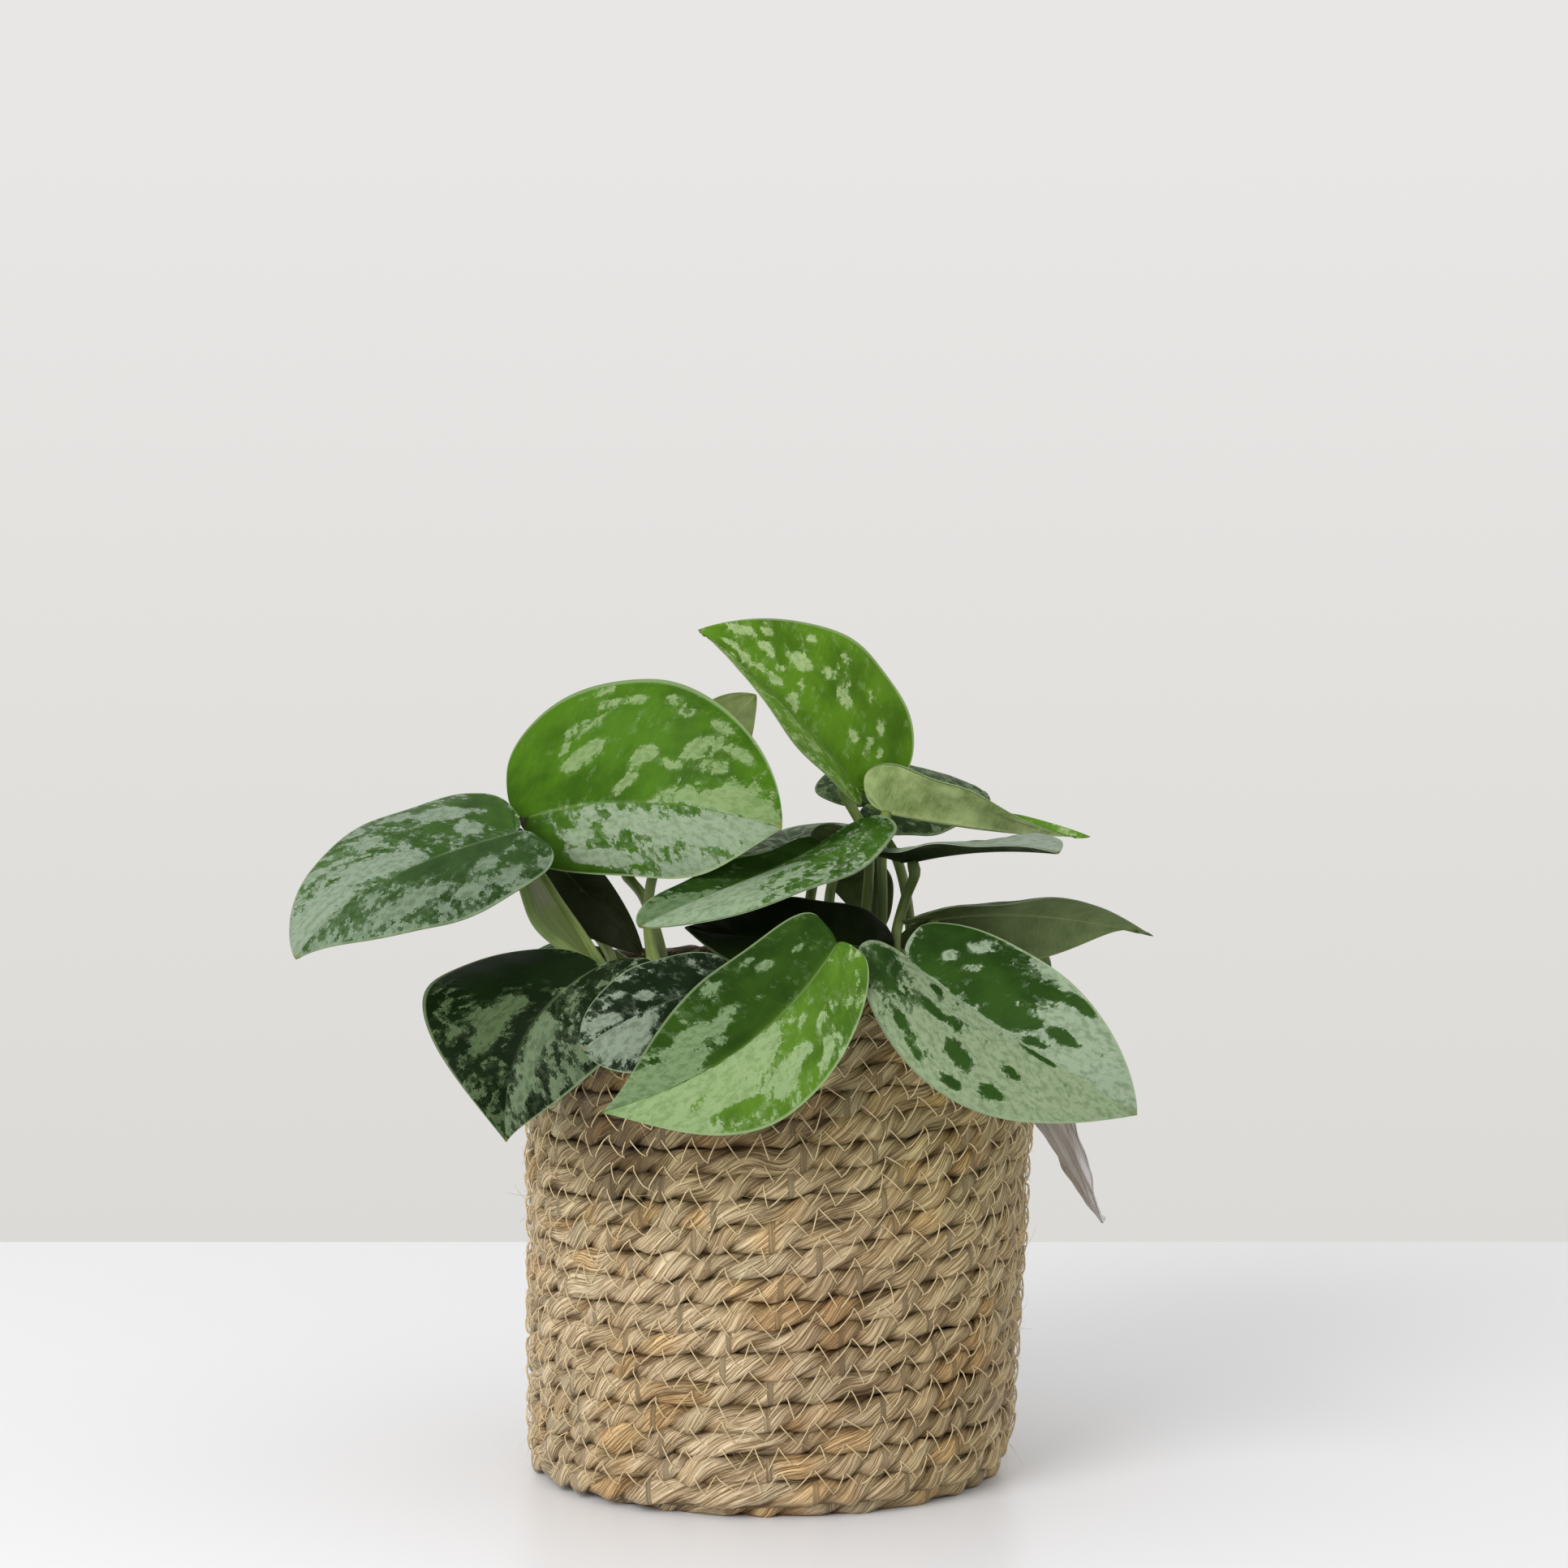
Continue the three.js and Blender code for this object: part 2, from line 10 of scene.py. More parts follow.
import bmesh
import bpy
import numpy as np
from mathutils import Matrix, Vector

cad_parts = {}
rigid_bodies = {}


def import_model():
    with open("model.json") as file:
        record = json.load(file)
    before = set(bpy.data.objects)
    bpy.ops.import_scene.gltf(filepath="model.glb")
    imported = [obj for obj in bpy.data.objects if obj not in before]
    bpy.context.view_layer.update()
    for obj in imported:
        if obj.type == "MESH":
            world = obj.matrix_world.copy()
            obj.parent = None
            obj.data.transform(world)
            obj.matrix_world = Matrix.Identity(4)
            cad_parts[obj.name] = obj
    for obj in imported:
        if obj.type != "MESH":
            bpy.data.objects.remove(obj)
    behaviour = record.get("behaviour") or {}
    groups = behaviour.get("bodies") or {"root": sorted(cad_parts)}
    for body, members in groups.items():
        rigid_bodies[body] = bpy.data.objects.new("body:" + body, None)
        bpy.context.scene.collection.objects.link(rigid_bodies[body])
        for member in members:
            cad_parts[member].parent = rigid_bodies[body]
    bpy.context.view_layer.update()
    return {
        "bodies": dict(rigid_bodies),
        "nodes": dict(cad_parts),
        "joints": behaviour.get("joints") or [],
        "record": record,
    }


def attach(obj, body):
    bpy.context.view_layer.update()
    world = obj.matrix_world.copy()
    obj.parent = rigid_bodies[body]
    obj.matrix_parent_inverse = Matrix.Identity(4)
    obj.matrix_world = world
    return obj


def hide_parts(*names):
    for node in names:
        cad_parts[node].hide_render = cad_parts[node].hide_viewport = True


MM = 0.001
UP = np.array((0, 0, 1.0))


def metres(*values):
    return tuple(value * MM for value in values)


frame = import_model()

# ---------------------------------------------------------------- nodes


def colour(red, green, blue):
    """A colour as the eye reads it, 0 to 255, in the shader's linear values."""
    return (*((value / 255) ** 2.2 for value in (red, green, blue)), 1)


class Nodes:
    """A node tree, with short ways to add the nodes used here."""

    def __init__(self, owner):
        owner.use_nodes = True
        self.tree = owner.node_tree

    def feed(self, socket, value):
        if isinstance(value, bpy.types.NodeSocket):
            self.tree.links.new(value, socket)
        else:
            socket.default_value = value

    def add(self, kind, values=(), output=0, **settings):
        """One output of a new node, whose sockets are fed in their order or by name."""
        node = self.tree.nodes.new("ShaderNode" + kind)
        for key, value in settings.items():
            setattr(node, key, value)
        for key, value in values.items() if isinstance(values, dict) else enumerate(values):
            self.feed(node.inputs[key], value)
        return node.outputs[output]

    def coordinates(self, kind="UV"):
        return self.add("TexCoord", output=kind)

    def attribute(self, name):
        return self.add("Attribute", output="Fac", attribute_name=name)

    def math(self, operation, *values):
        return self.add("Math", values, operation=operation)

    def scaled(self, vector, scale, shift=(0, 0, 0)):
        return self.add("VectorMath", (vector, scale, shift), operation="MULTIPLY_ADD")

    def distance(self, first, second):
        return self.add("VectorMath", (first, second), "Value", operation="DISTANCE")

    def split(self, vector):
        return self.add("SeparateXYZ", (vector,)).node.outputs

    def joined(self, *values):
        return self.add("CombineXYZ", values)

    def noise(self, vector, scale=1.0, detail=3.0, roughness=0.6, distortion=0.0, shift=(0, 0, 0)):
        """Noise of 0 to 1. With a scale for each axis, it can be shifted too."""
        if isinstance(scale, tuple):
            vector, scale = self.scaled(vector, scale, shift), 1.0
        return self.add("TexNoise", {
            "Vector": vector, "Scale": scale, "Detail": detail, "Roughness": roughness,
            "Distortion": distortion})

    def cells(self, vector, scale):
        """A random number for each cell of a cracked pattern."""
        return self.split(self.add("TexVoronoi", {"Vector": vector, "Scale": scale}, "Color"))[0]

    def warped(self, vector, reach):
        """The vector, moved about a little by noise."""
        return self.scaled(self.add("TexNoise", (vector,), "Color"), (reach, reach, 0), vector)

    def humps(self, value, gap):
        """A row of humps from 0 to 1 that stand a gap apart."""
        turn = self.math("MULTIPLY", value, math.pi / gap)
        return self.math("ABSOLUTE", self.math("SINE", turn))

    def total(self, first, *others):
        """The first value, plus each other value times its weight."""
        total = self.math("MULTIPLY", *first) if isinstance(first, tuple) else first
        for value, weight in others:
            total = self.math("MULTIPLY_ADD", value, weight, total)
        return total

    def ramp(self, value, low, high, to_low=0.0, to_high=1.0):
        return self.add(
            "MapRange", (value, low, high, to_low, to_high), interpolation_type="SMOOTHSTEP")

    def mix(self, share, first, second, blend="MIX"):
        """The first colour with the second mixed in by share; colour() takes any three numbers."""
        first, second = (
            colour(*value) if isinstance(value, tuple) and len(value) == 3 else value
            for value in (first, second))
        return self.add("Mix", {0: share, 6: first, 7: second}, 2, data_type="RGBA",
                        blend_type=blend)

    def tinted(self, share, base, red, green, blue):
        """The base colour, multiplied by three factors where the share is 1."""
        return self.mix(share, base, (red, green, blue, 1), "MULTIPLY")


class Shader(Nodes):
    """A material and its nodes."""

    def __init__(self, name, roughness, specular=0.5, ior=1.5):
        self.material = bpy.data.materials.new(name)
        super().__init__(self.material)
        self.surface = self.tree.nodes["Principled BSDF"].inputs
        self.surface["Roughness"].default_value = roughness
        self.surface["Specular IOR Level"].default_value = specular
        self.surface["IOR"].default_value = ior

    def finished(self, base, height=None, strength=0.0, distance=0.0):
        """The material with its colour and, where there is one, its bump in millimetres."""
        self.feed(self.surface["Base Color"], base)
        if height is not None:
            values = {"Strength": strength, "Distance": distance * MM, "Height": height}
            self.feed(self.surface["Normal"], self.add("Bump", values))
        return self.material


def mottled(name, roughness, specular, scale, detail, first, second, *bump):
    """Two colours mixed by noise. bump is the strength and the height by which it is raised too."""
    mat = Shader(name, roughness, specular)
    tone = mat.noise(mat.coordinates("Object"), scale, detail)
    return mat.finished(mat.mix(tone, first, second), tone if bump else None, *bump)


# ---------------------------------------------------------------- camera, light and table

CAMERA = dict(place=(0.004, -1.3, 0.299), target=(0.004, 0, 0.193), lens=107.3, sensor=36)
KEY_LIGHT = dict(
    place=(-1.08, -1.54, 1.0), target=(0, 0, 0.12), size=1.3, watts=32, tint=(1, 0.985, 0.97))
WALL = dict(low=(0.71, 0.70, 0.675, 1), top=(0.81, 0.80, 0.785, 1), fade=(-0.18, 0.06))
TABLE = dict(front=-1300, back=352, side=1500, thick=30)


def aimed(name, data, setting):
    """Puts a camera or a lamp in its place, turned to its target."""
    thing = bpy.data.objects.new(name, data)
    bpy.context.scene.collection.objects.link(thing)
    thing.location = setting["place"]
    away = Vector(setting["place"]) - Vector(setting["target"])
    thing.rotation_euler = away.to_track_quat("Z", "Y").to_euler()
    return thing


def make_camera():
    camera = bpy.data.cameras.new("camera")
    camera.sensor_width = CAMERA["sensor"]
    camera.lens = CAMERA["lens"]
    bpy.context.scene.camera = aimed("camera", camera, CAMERA)


def make_light():
    lamp = bpy.data.lights.new("key", "AREA")
    lamp.shape = "DISK"
    lamp.size = KEY_LIGHT["size"]
    lamp.energy = KEY_LIGHT["watts"]
    lamp.color = KEY_LIGHT["tint"]
    aimed("key", lamp, KEY_LIGHT)


def make_world():
    """A pale wall all round, which is also the soft light; it is a little darker low down."""
    world = bpy.data.worlds.new("pale wall")
    nodes = Nodes(world)
    height = nodes.split(nodes.coordinates("Generated"))[2]
    rise = nodes.add("MapRange", (height, *WALL["fade"], 0.0, 1.0))
    wall = nodes.mix(rise, WALL["low"], WALL["top"])
    nodes.feed(nodes.tree.nodes["Background"].inputs["Color"], wall)
    bpy.context.scene.world = world
    bpy.context.scene.view_settings.view_transform = "Standard"


def make_table():
    x, low = TABLE["side"], -TABLE["thick"]
    front, back = TABLE["front"], TABLE["back"]
    corners = [(-x, front), (x, front), (x, back), (-x, back)]
    points = [(*corner, z) for z in (0, low) for corner in corners]
    faces = [(0, 1, 2, 3), (7, 6, 5, 4), (0, 4, 5, 1), (1, 5, 6, 2), (2, 6, 7, 3), (3, 7, 4, 0)]
    look = mottled("table", 0.35, 0.35, 3, 2.0, (233, 234, 238), (237, 238, 242))
    mesh_piece("table", points, faces, [look], crease=30)


# ---------------------------------------------------------------- meshes


def mesh_piece(name, points, faces, materials, uv=None, face_materials=None, crease=None):
    """A smooth mesh object from points in millimetres. uv has one pair for each face corner."""
    mesh = bpy.data.meshes.new(name)
    mesh.from_pydata((np.asarray(points, float) * MM).tolist(), [], faces)
    for material in materials:
        mesh.materials.append(material)
    if uv is not None:
        layer = mesh.uv_layers.new(name="surface")
        layer.data.foreach_set("uv", np.asarray(uv, np.float32).ravel())
    if face_materials is not None:
        mesh.polygons.foreach_set("material_index", np.asarray(face_materials, np.int32))
    mesh.polygons.foreach_set("use_smooth", np.ones(len(mesh.polygons), bool))
    if crease is not None:
        mesh.set_sharp_from_angle(angle=math.radians(crease))
    mesh.update()
    piece = bpy.data.objects.new(name, mesh)
    bpy.context.scene.collection.objects.link(piece)
    return piece


def part_piece(name, node, slot, *mesh_arguments, **options):
    """A piece of the object that stands for a CAD node."""
    piece = mesh_piece(name, *mesh_arguments, **options)
    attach(piece, "root")
    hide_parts(node)
    return piece


def joined_meshes(parts):
    """Several (points, faces, places) as one."""
    points, faces, places, start = [], [], [], 0
    for part_points, part_faces, part_places in parts:
        points.append(part_points)
        faces += [[number + start for number in face] for face in part_faces]
        places.append(part_places)
        start += len(part_points)
    return np.vstack(points), faces, np.vstack(places)


def joined_piece(name, node, slot, parts, material):
    points, faces, uv = joined_meshes(parts)
    part_piece(name, node, slot, points, faces, [material], uv=uv)


def give_values(piece, **values):
    """Gives each point of a piece numbers that its material reads by their names."""
    for name, numbers in values.items():
        layer = piece.data.attributes.new(name, "FLOAT", "POINT")
        layer.data.foreach_set("value", numbers.astype(np.float32))


def wrapped_grid(rows, columns, flip=False):
    """Quads that join rows of points closed on themselves, and each corner's (column, row)."""
    row, column = np.meshgrid(np.arange(rows - 1), np.arange(columns), indexing="ij")
    row, column = row.ravel(), column.ravel()
    corners = [(row, column), (row, column + 1), (row + 1, column + 1), (row + 1, column)]
    if flip:
        corners.reverse()
    faces = np.stack([r * columns + c % columns for r, c in corners], axis=1)
    places = np.stack([np.stack([c, r], axis=1) for r, c in corners], axis=1).astype(float)
    return faces.tolist(), places.reshape(-1, 2)


def fan(ring, middle, flip=False):
    """Triangles from a closed ring of point numbers to its middle point."""
    following = np.roll(ring, -1)
    pairs = (following, ring) if flip else (ring, following)
    return [[middle, int(a), int(b)] for a, b in zip(*pairs)]


def unit(vectors):
    return vectors / np.maximum(np.linalg.norm(vectors, axis=-1, keepdims=True), 1e-12)


def ring_angles(count):
    return np.arange(count) * 2 * math.pi / count


def outward_of(angle):
    """Level vectors that point away from the basket's middle."""
    return np.stack([np.cos(angle), np.sin(angle), np.zeros_like(angle)], axis=1)


def bell(value, height, middle, width):
    return height * np.exp(-(((value - middle) / width) ** 2))


def lengths_along(points):
    steps = np.linalg.norm(np.diff(points, axis=0), axis=1)
    return np.concatenate([[0], np.cumsum(steps)])


def wander(along, seed, waves=5, longest=1.0):
    """A smooth seeded curve of about -1 to 1, made of a few sines; longest is its slowest period."""
    draw = np.random.RandomState(seed)
    total = np.zeros_like(along, dtype=float)
    for wave in range(1, waves + 1):
        speed = 2 * math.pi * wave / longest * draw.uniform(0.8, 1.2)
        total += np.sin(along * speed + draw.uniform(0, 2 * math.pi)) / wave**0.7
    return total / 2.2


def tube(centres, radii, sides, cap=True, shape=None):
    """Points, faces and corner places of a tube along centres, without twist.

    shape, if given, takes the angle round the tube and gives a share of the radius.
    """
    tangents = unit(np.gradient(centres, axis=0))
    across = np.zeros_like(centres)
    side = np.cross(tangents[0], UP)
    if np.linalg.norm(side) < 0.1:
        side = np.cross(tangents[0], (1.0, 0, 0))
    for index, tangent in enumerate(tangents):
        side = side - tangent * side.dot(tangent)
        side = side / np.linalg.norm(side)
        across[index] = side
    over = np.cross(tangents, across)
    angle = ring_angles(sides)
    share = np.ones(sides) if shape is None else shape(angle)
    ring = np.cos(angle) * share, np.sin(angle) * share
    radii = np.broadcast_to(radii, len(centres))[:, None, None]
    around = across[:, None] * ring[0][None, :, None] + over[:, None] * ring[1][None, :, None]
    points = (centres[:, None] + radii * around).reshape(-1, 3)
    faces, places = wrapped_grid(len(centres), sides)
    if cap:
        first, last = np.arange(sides), len(centres) - 1
        count = len(points)
        points = np.vstack([points, centres[:1], centres[-1:]])
        faces += fan(first, count, True) + fan(first + last * sides, count + 1)
        ends = np.repeat([(0.5, 0.0), (0.5, last)], 3 * sides, axis=0)
        places = np.vstack([places, ends])
    return points, faces, places


def smooth_curve(points, count):
    """A centripetal Catmull-Rom curve through the points, at even steps along its length."""
    points = np.array(points, float)
    ends = np.vstack([2 * points[0] - points[1], points, 2 * points[-1] - points[-2]])
    fine = []
    for p0, p1, p2, p3 in zip(ends, ends[1:], ends[2:], ends[3:]):
        d0, d1, d2 = (np.linalg.norm(b - a) ** 0.5 for a, b in ((p0, p1), (p1, p2), (p2, p3)))
        slope1 = ((p1 - p0) / d0 - (p2 - p0) / (d0 + d1) + (p2 - p1) / d1) * d1
        slope2 = ((p2 - p1) / d1 - (p3 - p1) / (d1 + d2) + (p3 - p2) / d2) * d1
        t = np.linspace(0, 1, 60, endpoint=False)[:, None]
        cubic = 2 * p1 - 2 * p2 + slope1 + slope2
        square = -3 * p1 + 3 * p2 - 2 * slope1 - slope2
        fine.append(p1 + slope1 * t + square * t**2 + cubic * t**3)
    fine = np.vstack([*fine, points[-1:]])
    length = lengths_along(fine)
    wanted = np.linspace(0, length[-1], count)
    return np.stack([np.interp(wanted, length, fine[:, axis]) for axis in range(3)], axis=1)


# ---------------------------------------------------------------- leaves

# The same settings as the CAD part's. base and tip are a blade's ends, roll turns it about the line
# between them, and twist is how far it has turned further at its tip. For each half, left and right:
# its width, its lobe's reach behind the base, where it is widest, how drawn-out its point is, how
# steeply it folds up at the midrib and how far it curls back. The midrib bows up by arch and to the
# left by sweep, and hook bends it down near the tip.
LEAVES = {
    "leaf_01_far_left": dict(
        base=(-70, -20, 181), tip=(-128, -44, 149), roll=-34, twist=7, width=(24.5, 30),
        lobe=(5, 5), wide=(0.45, 0.3), point=(0.15, 0.05), arch=4, hook=6,
        fold=(10, 5), curl=(30, 30)),
    "leaf_02_round_upright": dict(
        base=(-67, -4, 184), tip=(3.5, -34, 183.5), roll=80, twist=-15, width=(35, 21),
        lobe=(8, 1), wide=(0.45, 0.55), point=(0.02, 0.13), arch=4.5, hook=2, sweep=5,
        fold=(10, 5), curl=(18, 40)),
    "leaf_03_top": dict(
        base=(24, 12, 191), tip=(-20, 2, 236), roll=-52, width=(17, 30), lobe=(3, 9),
        point=(0.32, 0.13), arch=3, fold=(36, 36), curl=(15, 25)),
    "leaf_04_behind_round": dict(
        base=(-30, 22, 179), tip=(-4, 32, 216), roll=-50, width=(24, 22), lobe=(7, 7),
        wide=(0.4, 0.4), point=(0.1, 0.1), arch=3, fold=(4, 4), curl=(10, 10)),
    "leaf_05_middle": dict(
        base=(14, 5, 175.5), tip=(-35, -47, 158), roll=5, twist=-18, width=(34, 10),
        lobe=(14, 2), wide=(0.2, 0.6), point=(0.02, 0.0), hook=2, sweep=8,
        fold=(13, 20), curl=(13, 8)),
    "leaf_06_shaded": dict(
        base=(30, -26, 149), tip=(-23, -38, 157), roll=-24, width=(22, 21), lobe=(8, 6),
        wide=(0.3, 0.22), point=(0.12, 0.18), arch=4, hook=-3, sweep=2, fold=(0, 8),
        curl=(20, 5)),
    "leaf_07_front": dict(
        base=(18, -66, 155.5), tip=(-44, -92, 114.5), roll=-45, twist=-38, width=(22, 21),
        lobe=(3, 1.5), wide=(0.5, 0.4), point=(0.17, 0.2), arch=1, sweep=9,
        fold=(12, 8), curl=(16, 20)),
    "leaf_08_behind_front": dict(
        base=(-14, -72, 145.5), tip=(-49, -80, 129.5), roll=-60, width=(18, 13),
        lobe=(5, 5), wide=(0.4, 0.4), point=(0.02, 0.02), arch=3, hook=3, fold=(5, 5),
        curl=(20, 20)),
    "leaf_09_low_left": dict(
        base=(-46.5, -48, 147), tip=(-70, -66, 102.5), roll=-11, twist=-47,
        width=(24.5, 35), lobe=(7, 3), wide=(0.26, 0.3), point=(0.2, 0.17), arch=5.5,
        hook=1, sweep=-5.5, fold=(8, 6), curl=(27, 17)),
    "leaf_10_low_right": dict(
        base=(37, -57, 150.5), tip=(97, -80, 112), roll=41, twist=46, width=(23, 27),
        lobe=(4, 11), wide=(0.32, 0.34), point=(0.1, 0.15), arch=2, hook=3, sweep=-4.5,
        fold=(3, 29), curl=(17, 24)),
    "leaf_11_right": dict(
        base=(44, -6, 155.5), tip=(109, 20, 148), roll=-36, twist=-18, width=(21.5, 13.5),
        lobe=(5.5, 9), wide=(0.4, 0.28), point=(0.42, 0.22), arch=3, hook=-1.5, sweep=-4,
        fold=(0, -5), curl=(3, 27)),
    "leaf_12_young": dict(
        base=(32, 10, 184.5), tip=(89.5, -2, 178.4), roll=-30, twist=50, width=(9, 19),
        lobe=(6, 6), point=(0.16, 0.36), arch=-1.5, fold=(40, 40), curl=(20, 20)),
    "leaf_13_behind_young": dict(
        base=(28, 26, 185), tip=(62, 60, 186), roll=24, width=(24, 18), lobe=(7, 7),
        point=(0.05, 0.05), arch=3, curl=(20, 20)),
    "leaf_14_level": dict(
        base=(39, -6, 172), tip=(78, -46, 178), twist=4, width=(18.5, 19), lobe=(8, 4),
        point=(0.05, 0.05), arch=1.8, fold=(21, 24), curl=(30, 30)),
    "leaf_15_hanging": dict(
        base=(24, 26, 176), tip=(32, 40, 147), width=(15, 9), lobe=(6, 6), arch=3,
        curl=(40, 40)),
    "leaf_16_inner_left": dict(
        base=(-69, 16, 178), tip=(-35, -2, 145), roll=60, width=(9, 12), lobe=(6, 6),
        arch=4, curl=(40, 40)),
    "leaf_17_back_left": dict(
        base=(-40, 38, 168), tip=(-80, 84, 152), roll=8, width=(25, 25), lobe=(9, 9),
        arch=6, hook=3, fold=(10, 10), curl=(25, 25)),
    "leaf_18_back": dict(
        base=(6, 46, 172), tip=(2, 108, 152), roll=-6, width=(24, 25), lobe=(9, 9),
        arch=7, hook=4, fold=(8, 8), curl=(25, 25)),
    "leaf_19_back_right": dict(
        base=(52, 42, 147), tip=(79, 86, 116), roll=4, width=(20, 17), lobe=(8, 8),
        arch=6, hook=2, fold=(8, 8), curl=(15, 15)),
    "leaf_20_back_low": dict(
        base=(14, 62, 147.5), tip=(8, 98, 98), roll=6, width=(23, 24), lobe=(7, 7),
        arch=6, hook=2, fold=(8, 8), curl=(20, 20)),
    "leaf_21_back_low_left": dict(
        base=(-53, 40, 146), tip=(-88, 64, 108), roll=-8, width=(22, 22), lobe=(7, 7),
        arch=6, hook=2, fold=(8, 8), curl=(20, 20)),
    "leaf_22_withered": dict(
        base=(62, 48, 127), tip=(95, 20, 65.5), roll=-68, width=(11, 12), lobe=(4, 4),
        wide=(0.35, 0.35), point=(0.2, 0.2), arch=-1, fold=(20, 20), curl=(10, 10)),
}
LEAF_DEFAULTS = dict(
    roll=0, twist=0, wide=(0.28, 0.28), point=(0.14, 0.14), arch=0, hook=0, sweep=0,
    fold=(0, 0), curl=(0, 0))
WAVE = dict(height=0.8, turns=2, shift=1.7)
CAD_STEPS = (3, 4, 6)  # the CAD margin's steps: sinus to lobe, lobe to widest, widest to tip
FINE = 6  # margin steps here for each of those
ROWS = 24  # steps from the midrib to a margin
RIB_EASE = 1.25  # above 1, the midrib's points stand closer together at its base
HOOK_PEAK = 1.87  # makes a hook its own height at its highest place
# veins is the number of humps in a blade's relief; vein_gap and under_gap are the distances
# between the side veins drawn on its two sides.
BLADE = dict(
    thick=0.62, edge=0.3, quilt=0.28, veins=11, vein_gap=2.2, under_gap=5.5, unrest=0.55,
    midrib=0.55, midrib_width=0.035)

